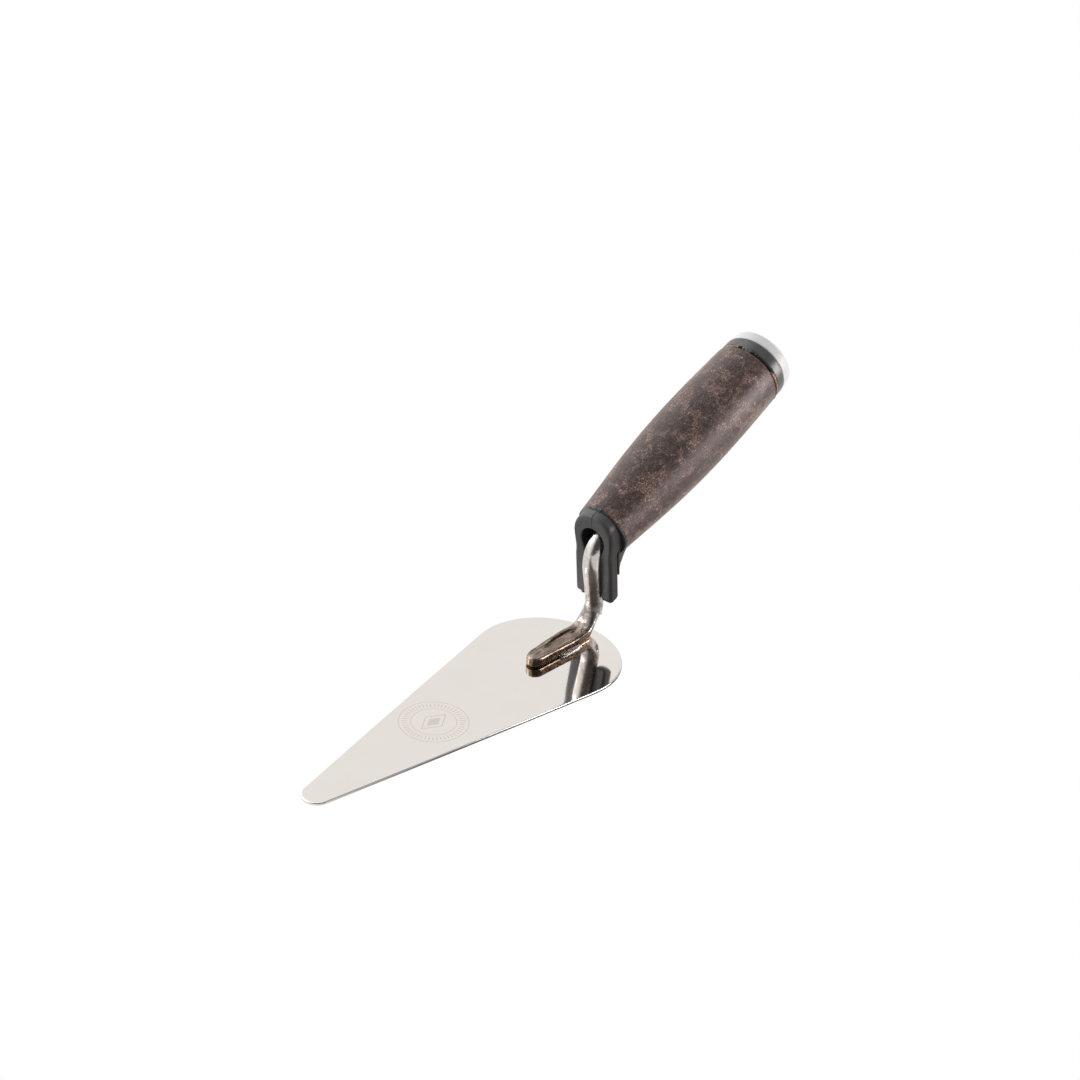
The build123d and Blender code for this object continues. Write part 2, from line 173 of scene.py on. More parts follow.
# ----------------------------------------------------------------- materials
class Nodes:
    def __init__(self, name):
        self.mat = bpy.data.materials.new(name)
        self.mat.use_nodes = True
        self.t = self.mat.node_tree
        self.t.nodes.clear()
        self.out = self.t.nodes.new("ShaderNodeOutputMaterial")
        self.b = self.t.nodes.new("ShaderNodeBsdfPrincipled")
        self.t.links.new(self.b.outputs[0], self.out.inputs[0])

    def new(self, kind, **kw):
        n = self.t.nodes.new(kind)
        for k, v in kw.items():
            if k.startswith("i_"):
                n.inputs[k[2:].replace("_", " ")].default_value = v
            else:
                setattr(n, k, v)
        return n

    def link(self, a, b):
        self.t.links.new(a, b)

    def coord(self, scale=(1, 1, 1), rot=(0, 0, 0), loc=(0, 0, 0)):
        tc = self.new("ShaderNodeTexCoord")
        mp = self.new("ShaderNodeMapping")
        mp.inputs["Scale"].default_value = scale
        mp.inputs["Rotation"].default_value = rot
        mp.inputs["Location"].default_value = loc
        self.link(tc.outputs["Object"], mp.inputs["Vector"])
        return mp.outputs["Vector"]

    def noise(self, vec, scale, detail=3.0, rough=0.5, distortion=0.0, kind="FBM", lac=2.0):
        n = self.new("ShaderNodeTexNoise")
        n.noise_type = kind
        n.inputs["Scale"].default_value = scale
        n.inputs["Detail"].default_value = detail
        n.inputs["Roughness"].default_value = rough
        n.inputs["Lacunarity"].default_value = lac
        n.inputs["Distortion"].default_value = distortion
        self.link(vec, n.inputs["Vector"])
        return n.outputs[0]

    def voronoi(self, vec, scale, feature="F1", rand=1.0, out="Distance"):
        n = self.new("ShaderNodeTexVoronoi")
        n.feature = feature
        n.inputs["Scale"].default_value = scale
        n.inputs["Randomness"].default_value = rand
        self.link(vec, n.inputs["Vector"])
        return n.outputs[out]

    def ramp(self, fac, stops, interp="LINEAR"):
        n = self.new("ShaderNodeValToRGB")
        cr = n.color_ramp
        cr.interpolation = interp
        while len(cr.elements) > 1:
            cr.elements.remove(cr.elements[-1])
        cr.elements[0].position = stops[0][0]
        cr.elements[0].color = self._c(stops[0][1])
        for p, c in stops[1:]:
            e = cr.elements.new(p)
            e.color = self._c(c)
        self.link(fac, n.inputs["Fac"])
        return n.outputs["Color"]

    @staticmethod
    def _c(c):
        if isinstance(c, (int, float)):
            return (c, c, c, 1)
        return (c[0], c[1], c[2], 1)

    def mix(self, fac, a, b, mode="MIX"):
        n = self.new("ShaderNodeMix")
        n.data_type = "RGBA"
        n.blend_type = mode
        n.clamp_factor = True
        for sock, v in ((n.inputs[0], fac), (n.inputs[6], a), (n.inputs[7], b)):
            if isinstance(v, (int, float)):
                sock.default_value = v if sock == n.inputs[0] else (v, v, v, 1)
            elif isinstance(v, tuple):
                sock.default_value = self._c(v)
            else:
                self.link(v, sock)
        return n.outputs[2]

    def math(self, op, a, b=None, c=None, clamp=False):
        n = self.new("ShaderNodeMath")
        n.operation = op
        n.use_clamp = clamp
        for i, v in enumerate((a, b, c)):
            if v is None:
                continue
            if isinstance(v, (int, float)):
                n.inputs[i].default_value = v
            else:
                self.link(v, n.inputs[i])
        return n.outputs[0]

    def rng(self, v, a, b, c, d, smooth=False):
        n = self.new("ShaderNodeMapRange")
        n.interpolation_type = "SMOOTHSTEP" if smooth else "LINEAR"
        n.clamp = True
        for i, x in ((1, a), (2, b), (3, c), (4, d)):
            n.inputs[i].default_value = x
        self.link(v, n.inputs[0])
        return n.outputs[0]

    def bump(self, height, strength, dist, normal=None):
        n = self.new("ShaderNodeBump")
        n.inputs["Strength"].default_value = strength
        n.inputs["Distance"].default_value = dist
        self.link(height, n.inputs["Height"])
        if normal is not None:
            self.link(normal, n.inputs["Normal"])
        return n.outputs["Normal"]

    def set(self, **kw):
        names = {"color": "Base Color", "metal": "Metallic", "rough": "Roughness", "normal": "Normal",
                 "spec": "Specular IOR Level", "coat": "Coat Weight", "coat_rough": "Coat Roughness",
                 "sss": "Subsurface Weight", "aniso": "Anisotropic", "ior": "IOR"}
        for k, v in kw.items():
            s = self.b.inputs[names[k]]
            if isinstance(v, (int, float)):
                s.default_value = v
            elif isinstance(v, tuple):
                s.default_value = self._c(v)
            else:
                self.link(v, s)
        return self.mat


def xyz(n, vec):
    s = n.new("ShaderNodeSeparateXYZ")
    n.link(vec, s.inputs[0])
    return s.outputs


def blade_material():
    n = Nodes("polished_blade_steel")
    o = n.coord()
    # fine grinding lines run across the blade
    gr = n.noise(n.coord(scale=(6000, 260, 800)), 1.0, 4, 0.6)
    sm_n = n.noise(o, 60, 3, 0.5)
    cloud = n.noise(o, 900, 2, 0.5)
    base = n.mix(n.rng(sm_n, 0.35, 0.65, 0, 1), (0.834, 0.794, 0.774), (0.849, 0.809, 0.789))
    base = n.mix(n.math("MULTIPLY", n.rng(cloud, 0.35, 0.7, 0, 1), 0.10), base, (0.78, 0.73, 0.69))
    # etched mark: two rings, ticks between them, a plain lozenge inside
    cx, cy = TIP_X + 74.9 * MM, 1.05 * MM
    s = xyz(n, o)
    dx = n.math("SUBTRACT", s[0], cx)
    dy = n.math("SUBTRACT", s[1], cy)
    rr = n.math("SQRT", n.math("ADD", n.math("MULTIPLY", dx, dx), n.math("MULTIPLY", dy, dy)))
    ang = n.math("ARCTAN2", dy, dx)

    def line(r, w):
        d = n.math("ABSOLUTE", n.math("SUBTRACT", rr, r * MM))
        return n.rng(d, (w - 0.07) * MM, (w + 0.07) * MM, 1, 0, True)
    tick = n.math("ABSOLUTE", n.math("SINE", n.math("MULTIPLY", ang, 24.0)))
    tick = n.rng(tick, 0.86, 0.96, 0, 1, True)
    band = n.math("MULTIPLY", n.rng(rr, 10.9 * MM, 11.0 * MM, 0, 1), n.rng(rr, 13.3 * MM, 13.4 * MM, 1, 0))
    loz = n.math("ADD", n.math("MULTIPLY", n.math("ABSOLUTE", dx), 0.62), n.math("ABSOLUTE", dy))
    loz_edge = n.rng(n.math("ABSOLUTE", n.math("SUBTRACT", loz, 4.6 * MM)), 0.16 * MM, 0.3 * MM, 1, 0, True)
    loz_in = n.math("MULTIPLY", n.rng(loz, 2.5 * MM, 2.65 * MM, 1, 0, True), 0.75)
    top = n.rng(s[2], 1.0 * MM, 1.15 * MM, 0, 1)
    mark = n.math("MAXIMUM", line(14.72, 0.16), line(9.6, 0.15))
    mark = n.math("MAXIMUM", mark, n.math("MULTIPLY", n.math("MULTIPLY", tick, band), 0.85))
    mark = n.math("MAXIMUM", mark, loz_edge)
    mark = n.math("MAXIMUM", mark, loz_in)
    mark = n.math("MULTIPLY", mark, top)
    grain = n.noise(o, 5200, 2, 0.6)
    mark = n.math("MULTIPLY", mark, n.rng(grain, 0.3, 0.7, 0.65, 1.0))
    col = n.mix(mark, base, (0.60, 0.54, 0.49))
    rough = n.math("ADD", n.rng(gr, 0.3, 0.7, 0.035, 0.075), n.math("MULTIPLY", mark, 0.16))
    rough = n.math("ADD", rough, n.rng(cloud, 0.4, 0.7, 0.0, 0.02))
    nrm = n.bump(gr, 0.05, 0.00002)
    nrm = n.bump(sm_n, 0.02, 0.0004, nrm)
    nrm = n.bump(mark, -0.15, 0.00003, nrm)
    return n.set(color=col, metal=1.0, rough=rough, normal=nrm)


def shank_material():
    n = Nodes("forged_shank_steel")
    o = n.coord()
    s = xyz(n, o)
    wave = n.noise(o, 320, 3, 0.55)
    fine = n.noise(o, 2600, 4, 0.65)
    blot = n.noise(o, 420, 5, 0.62, 0.6)
    polish = n.mix(n.rng(wave, 0.3, 0.7, 0, 1), (0.79, 0.765, 0.74), (0.63, 0.60, 0.57))
    # darker worked skin where the polish hasn't cut through, round the lower bend and on the foot
    xm = n.math("MULTIPLY", n.math("SUBTRACT", s[0], TIP_X), 1000.0)
    zm = n.math("MULTIPLY", s[2], 1000.0)
    foot = n.math("MULTIPLY", n.rng(xm, 166.0, 176.0, 1, 0, True), n.rng(zm, 7.5, 12.0, 1, 0, True))
    lowz = n.rng(zm, 15.0, 30.0, 1, 0, True)
    skin_and_painted_reflection = n.math("MULTIPLY", n.rng(blot, 0.43, 0.62, 0, 1, True), n.math("ADD", 0.08, n.math("MULTIPLY", lowz, 0.68)))
    spot = n.math("MULTIPLY", n.rng(fine, 0.56, 0.64, 0, 1, True), n.math("MULTIPLY", lowz, 0.55))
    skin_and_painted_reflection = n.math("MAXIMUM", skin_and_painted_reflection, spot)
    # painted reflection: a dark strip down the near side of the neck stands for the dark reflection the rod shows
    # there; it joins the worked-skin mask
    yr = n.math("ADD", n.math("MULTIPLY", s[1], 1000.0), n.math("MULTIPLY", n.math("SUBTRACT", blot, 0.5), 3.0))
    painted_reflection_strip = n.math("MULTIPLY", n.rng(yr, -0.9, -1.9, 0, 1, True), n.rng(yr, -4.5, -3.9, 0, 1, True))
    painted_reflection_strip = n.math("MULTIPLY", painted_reflection_strip, n.math("MULTIPLY", n.rng(zm, 6.5, 9.0, 0, 1, True), n.rng(zm, 36.0, 26.0, 0.25, 1, True)))
    painted_reflection_strip = n.math("MULTIPLY", painted_reflection_strip, n.rng(fine, 0.40, 0.60, 0.55, 0.98, True))
    skin_and_painted_reflection = n.math("MAXIMUM", skin_and_painted_reflection, n.math("MULTIPLY", painted_reflection_strip, n.rng(zm, 52.0, 44.0, 0, 1, True)))
    front = n.math("MULTIPLY", n.rng(xm, 178.5, 173.0, 0, 1, True), n.rng(zm, 20.0, 12.0, 0, 1, True))
    front = n.math("MULTIPLY", front, n.rng(blot, 0.38, 0.56, 0.25, 0.85, True))
    skin_and_painted_reflection = n.math("MAXIMUM", skin_and_painted_reflection, front)
    col = n.mix(skin_and_painted_reflection, polish, (0.17, 0.135, 0.115))
    tint = n.mix(n.rng(blot, 0.35, 0.65, 0, 1), (0.120, 0.082, 0.062), (0.32, 0.235, 0.18))
    tint = n.mix(n.math("MULTIPLY", n.rng(xm, 140.5, 137.0, 0, 1, True), 0.55), tint, (0.50, 0.39, 0.32))
    col = n.mix(n.math("MULTIPLY", foot, 0.86), col, tint)
    streak = n.noise(n.coord(scale=(150, 900, 600), rot=(0, 0, 0.05)), 1.0, 4, 0.6, 0.8)
    col = n.mix(n.math("MULTIPLY", n.math("MULTIPLY", foot, n.rng(streak, 0.50, 0.62, 0, 1, True)), 0.55), col, (0.050, 0.036, 0.030))
    pale = n.math("MULTIPLY", n.math("MULTIPLY", foot, n.rng(streak, 0.44, 0.36, 0, 1, True)), 0.6)
    col = n.mix(pale, col, (0.62, 0.54, 0.48))
    # straw and gold heat tint near the weld, on the sides and the nose
    side = n.rng(zm, 4.4, 5.9, 1, 0, True)
    gold = n.mix(n.rng(fine, 0.42, 0.62, 0, 1), (0.11, 0.075, 0.05), (0.42, 0.28, 0.15))
    col = n.mix(n.math("MULTIPLY", n.math("MULTIPLY", foot, side), 0.75), col, gold)
    # painted shade: a near-black band along the foot's base, under about 2 mm from the floor, where it meets the blade
    col = n.mix(n.math("MULTIPLY", n.math("MULTIPLY", foot, n.rng(zm, 1.95, 2.35, 1, 0, True)), 0.9), col, (0.022, 0.017, 0.015))
    rough = n.math("ADD", n.rng(fine, 0.3, 0.7, 0.10, 0.20), n.math("MULTIPLY", skin_and_painted_reflection, 0.22))
    rough = n.math("MULTIPLY", rough, n.math("SUBTRACT", 1.0, n.math("MULTIPLY", foot, 0.30)))
    h = n.math("ADD", n.math("MULTIPLY", fine, 0.4), n.math("MULTIPLY", blot, 0.9))
    nrm = n.bump(h, 0.35, 0.00012)
    return n.set(color=col, metal=1.0, rough=rough, normal=nrm)


def weld_material():
    n = Nodes("weld_metal")
    o = n.coord()
    s = xyz(n, o)
    xm = n.math("MULTIPLY", n.math("SUBTRACT", s[0], TIP_X), 1000.0)
    fine = n.noise(o, 1500, 4, 0.6)
    big = n.noise(o, 380, 2, 0.5)
    f = n.math("ADD", n.rng(xm, 150.0, 168.0, 0, 1), n.math("MULTIPLY", n.math("SUBTRACT", big, 0.5), 0.9))
    tint = n.ramp(f, [(0.0, (0.03, 0.028, 0.032)), (0.22, (0.10, 0.075, 0.07)), (0.40, (0.26, 0.21, 0.19)),
                      (0.55, (0.50, 0.52, 0.58)), (0.66, (0.55, 0.60, 0.70)), (0.78, (0.28, 0.19, 0.15)),
                      (1.0, (0.48, 0.30, 0.15))])
    col = n.mix(n.rng(fine, 0.4, 0.65, 0, 1), tint, n.mix(0.5, tint, (0.85, 0.82, 0.80)))
    nrm = n.bump(fine, 0.5, 0.00012)
    return n.set(color=col, metal=1.0, rough=n.rng(fine, 0.3, 0.7, 0.16, 0.34), normal=nrm)


def plastic(name, col, col2, rough, grain=0.25, scuff=0.0, scale=1.0, seam_and_painted_light=False, spec=0.5):
    n = Nodes(name)
    o = n.coord()
    big = n.noise(o, 160 * scale, 4, 0.6)
    fine = n.noise(o, 4200 * scale, 3, 0.6)
    cell = n.voronoi(o, 2600 * scale)
    c = n.mix(n.rng(big, 0.3, 0.7, 0, 1), col, col2)
    c = n.mix(n.math("MULTIPLY", n.rng(fine, 0.55, 0.75, 0, 1), 0.25), c, tuple(min(1, x * 1.7) for x in col2))
    r = n.rng(n.noise(o, 700 * scale, 4, 0.65), 0.3, 0.7, rough - 0.06, rough + 0.08)
    if scuff:
        sc = n.noise(n.coord(scale=(300, 2600, 300), rot=(0.4, 0.3, 0.9)), 1.0, 5, 0.7)
        m = n.math("MULTIPLY", n.rng(sc, 0.62, 0.72, 0, 1, True), scuff)
        c = n.mix(m, c, tuple(min(1, x * 2.6 + 0.02) for x in col2))
    if seam_and_painted_light:
        # the moulding's parting line, down the middle; also painted light: a painted highlight on the guard's top and
        # painted shade on its side faces
        ym = n.math("ABSOLUTE", n.math("MULTIPLY", xyz(n, o)[1], 1000.0))
        zt = n.math("MULTIPLY", xyz(n, o)[2], 1000.0)
        # painted highlight: the guard's top, above about 56 to 70 mm, is made lighter
        c = n.mix(n.math("MULTIPLY", n.rng(zt, 56.0, 70.0, 0, 1, True), 0.90), c, tuple(min(1, x * 3.1) for x in col2))
        # painted shade: the guard's side faces, more than about 9 mm from the middle and below about 74 to 84 mm, are
        # made near black; they are also made rougher
        flank = n.rng(ym, 8.9, 9.9, 0, 1, True)
        flank = n.math("MULTIPLY", flank, n.rng(zt, 84.0, 74.0, 0, 1, True))
        c = n.mix(n.math("MULTIPLY", flank, 0.85), c, (0.010, 0.0095, 0.010))
        r = n.math("ADD", r, n.math("MULTIPLY", flank, 0.30))
        c = n.mix(n.math("MULTIPLY", n.rng(ym, 0.14, 0.26, 1, 0, True), 0.9), c, (0.006, 0.006, 0.006))
    h = n.math("ADD", n.math("MULTIPLY", fine, 0.6), n.math("MULTIPLY", cell, 0.6))
    nrm = n.bump(h, grain, 0.00006)
    return n.set(color=c, rough=r, normal=nrm, spec=spec)


def grip_material():
    n = Nodes("pressed_fibre_composite")
    o = n.coord(rot=(0, TH, 0))
    o2 = n.coord(rot=(0.5, TH + 0.4, 0.9))
    lg = n.new("ShaderNodeVectorMath")
    lg.operation = "MULTIPLY"
    lg.inputs[1].default_value = (0.74, 1.0, 1.0)
    n.link(o, lg.inputs[0])
    ol_ = lg.outputs[0]
    patchy = n.noise(ol_, 150, 5, 0.64, 0.6)
    mid = n.noise(ol_, 520, 5, 0.70, 0.1)
    speck = n.noise(ol_, 1350, 4, 0.85)
    speck2 = n.noise(o2, 900, 5, 0.85, 0.3)
    grit = n.noise(o2, 1900, 3, 0.7)
    curl = n.noise(o, 430, 3, 0.6, 1.4)
    curl = n.math("ABSOLUTE", n.math("SUBTRACT", curl, 0.5))
    patch = n.rng(patchy, 0.485, 0.60, 0.0, 1.0, True)
    base = n.ramp(mid, [(0.34, (0.0185, 0.0118, 0.0130)), (0.48, (0.034, 0.0222, 0.0238)),
                        (0.58, (0.074, 0.0495, 0.0490)), (0.70, (0.165, 0.110, 0.100))])
    # pale fibre dust: fine everywhere, thick in the patches
    dust = n.rng(speck, 0.555, 0.64, 0, 1, True)
    dust = n.math("MULTIPLY", dust, n.math("ADD", 0.36, n.math("MULTIPLY", patch, 0.64)))
    col = n.mix(dust, base, (0.60, 0.40, 0.315))
    d2 = n.math("MULTIPLY", n.rng(speck2, 0.565, 0.66, 0, 1, True), n.math("ADD", 0.08, n.math("MULTIPLY", patch, 0.90)))
    col = n.mix(d2, col, (0.84, 0.56, 0.43))
    haze = n.math("MULTIPLY", patch, n.rng(mid, 0.42, 0.62, 0.10, 0.52, True))
    col = n.mix(haze, col, (0.27, 0.180, 0.150))
    cm = n.math("MULTIPLY", n.rng(curl, 0.012, 0.035, 1, 0, True), n.math("MULTIPLY", patch, 0.16))
    col = n.mix(cm, col, (0.58, 0.36, 0.265))
    col = n.mix(n.math("MULTIPLY", n.rng(grit, 0.52, 0.58, 0, 1, True), 0.72), col, (0.024, 0.017, 0.016))
    fleck = n.noise(ol_, 1900, 3, 0.65)
    col = n.mix(n.math("MULTIPLY", n.rng(fleck, 0.585, 0.66, 0, 1, True), n.math("ADD", 0.24, n.math("MULTIPLY", patch, 0.60))),
                col, (0.84, 0.57, 0.45))
    pit = n.noise(o2, 2600, 2, 0.6)
    col = n.mix(n.math("MULTIPLY", n.rng(pit, 0.57, 0.64, 0, 1, True), 0.55), col, (0.018, 0.013, 0.013))
    # torn fibre shows paler on the thin rear lip
    sx_ = n.math("MULTIPLY", xyz(n, o)[0], 1000.0)
    lipm = n.rng(sx_, float(np.dot(A0 + np.array([TIP_X / MM, 0, 0]), AX)) + 71.80, float(np.dot(A0 + np.array([TIP_X / MM, 0, 0]), AX)) + 72.0, 0, 1, True)
    col = n.mix(n.math("MULTIPLY", lipm, n.rng(speck2, 0.42, 0.56, 0.25, 0.85)), col, (0.46, 0.27, 0.15))
    # a few orange flecks, uneven in size and outline
    nz = n.new("ShaderNodeTexNoise")
    nz.inputs["Scale"].default_value = 1500
    nz.inputs["Detail"].default_value = 2
    n.link(o, nz.inputs["Vector"])
    for sc, keep, lo, hi, c in ((260, 0.055, 0.05, 0.16, (0.50, 0.21, 0.12)), (430, 0.060, 0.06, 0.20, (0.46, 0.24, 0.14)),
                                (150, 0.030, 0.04, 0.11, (0.55, 0.27, 0.15))):
        sv_ = n.new("ShaderNodeVectorMath")
        sv_.operation = "SCALE"
        sv_.inputs["Scale"].default_value = 0.55 / sc
        n.link(nz.outputs["Color"], sv_.inputs[0])
        dv = n.new("ShaderNodeVectorMath")
        dv.operation = "ADD"
        n.link(o, dv.inputs[0])
        n.link(sv_.outputs[0], dv.inputs[1])
        v = n.new("ShaderNodeTexVoronoi")
        v.inputs["Scale"].default_value = sc
        n.link(dv.outputs[0], v.inputs["Vector"])
        cs = n.new("ShaderNodeSeparateColor")
        n.link(v.outputs["Color"], cs.inputs[0])
        pick = n.rng(cs.outputs[0], keep, keep + 0.01, 1, 0)
        dot = n.rng(v.outputs["Distance"], lo, hi, 1, 0, True)
        col = n.mix(n.math("MULTIPLY", n.math("MULTIPLY", pick, dot), 0.8), col, c)
    # the mould seam along the top, broken where it was rubbed down
    o0 = n.coord()
    py = n.math("MULTIPLY", xyz(n, o0)[1], 1000.0)
    up_ = n.new("ShaderNodeVectorMath")
    up_.operation = "DOT_PRODUCT"
    up_.inputs[1].default_value = tuple(UP)
    n.link(o0, up_.inputs[0])
    above = n.math("GREATER_THAN", up_.outputs["Value"], float(np.dot(A0 * MM + np.array([TIP_X, 0, 0]), UP)))
    wob = n.math("MULTIPLY", n.math("SUBTRACT", n.noise(o, 260, 3, 0.6), 0.5), 0.5)
    off_ = n.math("ABSOLUTE", n.math("ADD", n.math("ADD", py, 1.65), wob))
    line = n.math("MULTIPLY", n.rng(off_, 0.10, 0.20, 1, 0, True), above)
    line = n.math("MULTIPLY", line, n.rng(n.noise(o2, 210, 3, 0.6), 0.40, 0.52, 0.35, 1, True))
    lcol = n.mix(n.rng(n.noise(o2, 60, 2, 0.5), 0.50, 0.56, 0, 1, True), (0.010, 0.008, 0.009), (0.34, 0.20, 0.14))
    col = n.mix(n.math("MULTIPLY", line, 0.9), col, lcol)
    rough = n.math("ADD", n.rng(mid, 0.3, 0.7, 0.38, 0.46), n.math("MULTIPLY", n.rng(speck, 0.4, 0.65, 0, 1), 0.12))
    # rubbed a little smoother by the hand towards the butt
    s0_ = float(np.dot(A0 + np.array([TIP_X / MM, 0, 0]), AX))
    rub = n.rng(sx_, s0_ + 30.0, s0_ + 64.0, 0, 1, True)
    rough = n.math("SUBTRACT", rough, n.math("MULTIPLY", rub, 0.085))
    h = n.math("ADD", n.math("MULTIPLY", speck, 0.8), n.math("MULTIPLY", grit, -0.5))
    nrm = n.bump(h, 0.60, 0.00012)
    n.b.inputs["Sheen Weight"].default_value = 0.42
    n.b.inputs["Sheen Tint"].default_value = (1.0, 0.80, 0.71, 1.0)
    n.b.inputs["Sheen Roughness"].default_value = 0.45
    n.b.inputs["Specular Tint"].default_value = (1.0, 0.89, 0.90, 1.0)
    return n.set(color=col, rough=rough, normal=nrm, spec=0.47)


M_BLADE = blade_material()
M_SHANK = shank_material()
M_WELD = weld_material()
M_GUARD = plastic("guard_black_polymer", (0.033, 0.033, 0.036), (0.042, 0.042, 0.046), 0.40, 0.40, seam_and_painted_light=True, spec=0.62)
# near-black plastic for the collar disc and the skirts behind the guard's legs: its own black, made darker than the
# guard's plastic as painted shade of the groove between guard and grip
M_COLLAR = plastic("collar_black_polymer", (0.010, 0.010, 0.011), (0.016, 0.016, 0.017), 0.42, 0.2)
M_RING = plastic("ring_black_polymer", (0.054, 0.056, 0.059), (0.078, 0.081, 0.085), 0.30, 0.25, 0.25, spec=0.7)
M_GLOSS = plastic("gloss_black_polymer", (0.012, 0.012, 0.013), (0.02, 0.02, 0.021), 0.16, 0.1, spec=0.8)
M_CORE = plastic("core_black_polymer", (0.014, 0.014, 0.015), (0.02, 0.02, 0.02), 0.5)
M_CAP = plastic("cap_white_nylon", (0.715, 0.725, 0.73), (0.765, 0.775, 0.78), 0.40, 0.15)
M_GRIP = grip_material()

# --------------------------------------------------------------------- blade
TIP_R = 6.45
slope = (31.0 - 7.76) / (130.0 - 12.45)
ang = math.atan(slope)
tx, ty = TIP_R * (1 - math.sin(ang)), TIP_R * math.cos(ang)
half = []
for i in range(33):                       # tip arc, from the nose to the flank
    a = i / 32 * (PI / 2 - ang)
    half.append((TIP_R * (1 - math.cos(a)), TIP_R * math.sin(a)))
for i in range(1, 60):                    # flank, bowed out by a fifth of a millimetre
    t = i / 60
    half.append((tx + (130.0 - tx) * t, ty + (31.0 - ty) * t + 0.8 * t * (1 - t)))
hf, hl = cubic([(130.0, 31.0), (150.5, 33.6), (163.4, 29.4), (172.9, 21.0), (178.6, 9.6), (180.0, 0.0)],
               (1, slope * 0.98), (0, -1))
for i in range(0, 131):
    p = hf(hl * i / 130)
    half.append((min(p[0], 179.99), min(p[1], 33.75)))
outline = [(x, y) for x, y in half] + [(x, -y) for x, y in half[-2:0:-1]]
O = np.array(outline)
Tn = np.roll(O, -1, 0) - np.roll(O, 1, 0)
Tn /= np.linalg.norm(Tn, axis=1)[:, None]
Nn = np.stack([-Tn[:, 1], Tn[:, 0]], 1)
if np.sum(Nn * (O - O.mean(0))) < 0:
    Nn = -Nn
NL = len(O)


def loop(inset, z):
    q = O - Nn * inset
    return [(q[i, 0], q[i, 1], z) for i in range(NL)]


rings = [loop(4.0, 0.0), loop(2.0, 0.0), loop(0.9, 0.0), loop(0.14, 0.0), loop(0.05, 0.04), loop(0.0, 0.14), loop(0.0, 0.45), loop(0.0, 0.78)]
for i in range(1, 9):
    a = i / 8 * PI / 2
    rings.append(loop(0.42 * (1 - math.cos(a)), 0.78 + 0.42 * math.sin(a)))
rings += [loop(0.55, 1.2), loop(0.9, 1.2), loop(2.0, 1.2), loop(4.0, 1.2)]
v, f = skin(rings)
blade = make("trowel_blade", v, f, M_BLADE, replaces=("blade",))

# --------------------------------------------------------------------- shank
LEAN = math.radians(12.7)
neck = np.array([math.sin(LEAN), 0, -math.cos(LEAN)])
nx0, nz0 = 175.95, 33.4
den = math.cos(TH) * math.cos(LEAN) + math.sin(TH) * math.sin(LEAN)
sv = ((nx0 - A0[0]) * math.cos(LEAN) + (nz0 - A0[2]) * math.sin(LEAN)) / den
V1 = A0 + AX * sv
V2 = V1 + neck * ((V1[2] - 5.0) / math.cos(LEAN))
R1, R2 = 17.0, 11.0


def bend_pts(Vx, din, dout, R, n):
    """points, tangents and outward radials round a tangent arc at a corner."""
    a = math.acos(np.clip(np.dot(din, dout), -1, 1))
    tl = R * math.tan(a / 2)
    P0 = Vx - din * tl
    bis = (dout - din) / np.linalg.norm(dout - din)
    C = Vx + bis * (R / math.cos(a / 2))
    r0 = (P0 - C) / R
    pts = []
    for i in range(n + 1):
        ph = a * i / n
        r = r0 * math.cos(ph) + din * math.sin(ph)
        pts.append((C + r * R, -r0 * math.sin(ph) + din * math.cos(ph), r))
    return pts


fwd = np.array([-1.0, 0, 0])
up_bend = bend_pts(V1, -AX, neck, R1, 30)
lo_bend = bend_pts(V2, neck, fwd, R2, 34)


def sq_ring(ctr, ax_y, ax_z, hw, hh, p, m=40):
    """a ring between an ellipse (p = 2) and a rounded rectangle."""
    out = []
    for k_ in range(m):
        a = 2 * PI * k_ / m
        c_, s_ = math.cos(a), math.sin(a)
        y = hw * math.copysign(abs(c_) ** (2 / p), c_)
        z = hh * math.copysign(abs(s_) ** (2 / p), s_)
        out.append(ctr + ax_y * y + ax_z * z)
    return out


rod = []
# butt end of the tang, hidden in the handle, then down to the foot
P0, r0_ = up_bend[0][0], up_bend[0][2]
for k_, rad in ((73.6, 2.6), (73.0, 3.4), (71.0, 3.8), (50.0, 3.8), (25.0, 3.8), (8.0, 3.8), (2.0, 3.8)):
    rod.append(sq_ring(P0 + AX * k_, YV, r0_, rad, rad, 2))
up_bend_i = 0
for ctr, t, r in up_bend:
    kk = up_bend_i / len(up_bend)
    up_bend_i += 1
    rod.append(sq_ring(ctr - YV * 0.15 * sm(0.1, 0.6, kk), YV, r, 3.8 + 0.58 * sm(0.1, 0.6, kk),
                       3.8 + 0.45 * sm(0.1, 0.7, kk), 2))
Pa, Pb, rr_ = up_bend[-1][0], lo_bend[0][0], up_bend[-1][2]
for i in range(1, 24):
    t = i / 24
    rad = 4.38 - 0.06 * sm(0.0, 0.5, t) - 0.12 * sm(0.5, 1.0, t)
    rod.append(sq_ring(Pa + (Pb - Pa) * t - YV * 0.15 * (1 - sm(0.5, 1, t)), YV, rr_, rad, 4.25 - 0.15 * sm(0.2, 1.0, t), 2))
for i, (ctr, t, r) in enumerate(lo_bend):
    f_ = i / (len(lo_bend) - 1)
    g = sm(0.15, 1.0, f_)
    ins = -r
    if np.dot(ins, rr_) < 0 and i == 0:
        pass
    hw = 4.20 + (5.05 - 4.20) * g
    hh = 4.10 + (2.55 - 4.10) * g + 0.28 * math.sin(PI * f_) ** 2
    lo = 4.10 - hh
    rod.append(sq_ring(ctr - ins * lo * 0.76, YV, ins, hw, hh, 2 + 1.6 * g))
xe = lo_bend[-1][0][0]
for x in (xe - 3, xe - 7, xe - 11):
    rod.append(sq_ring(np.array([x, 0, BLADE_T + 2.5]), YV, np.array([0, 0, 1.0]), 4.7, 2.45, 3.6))
vs_, fs_ = skin(rod)

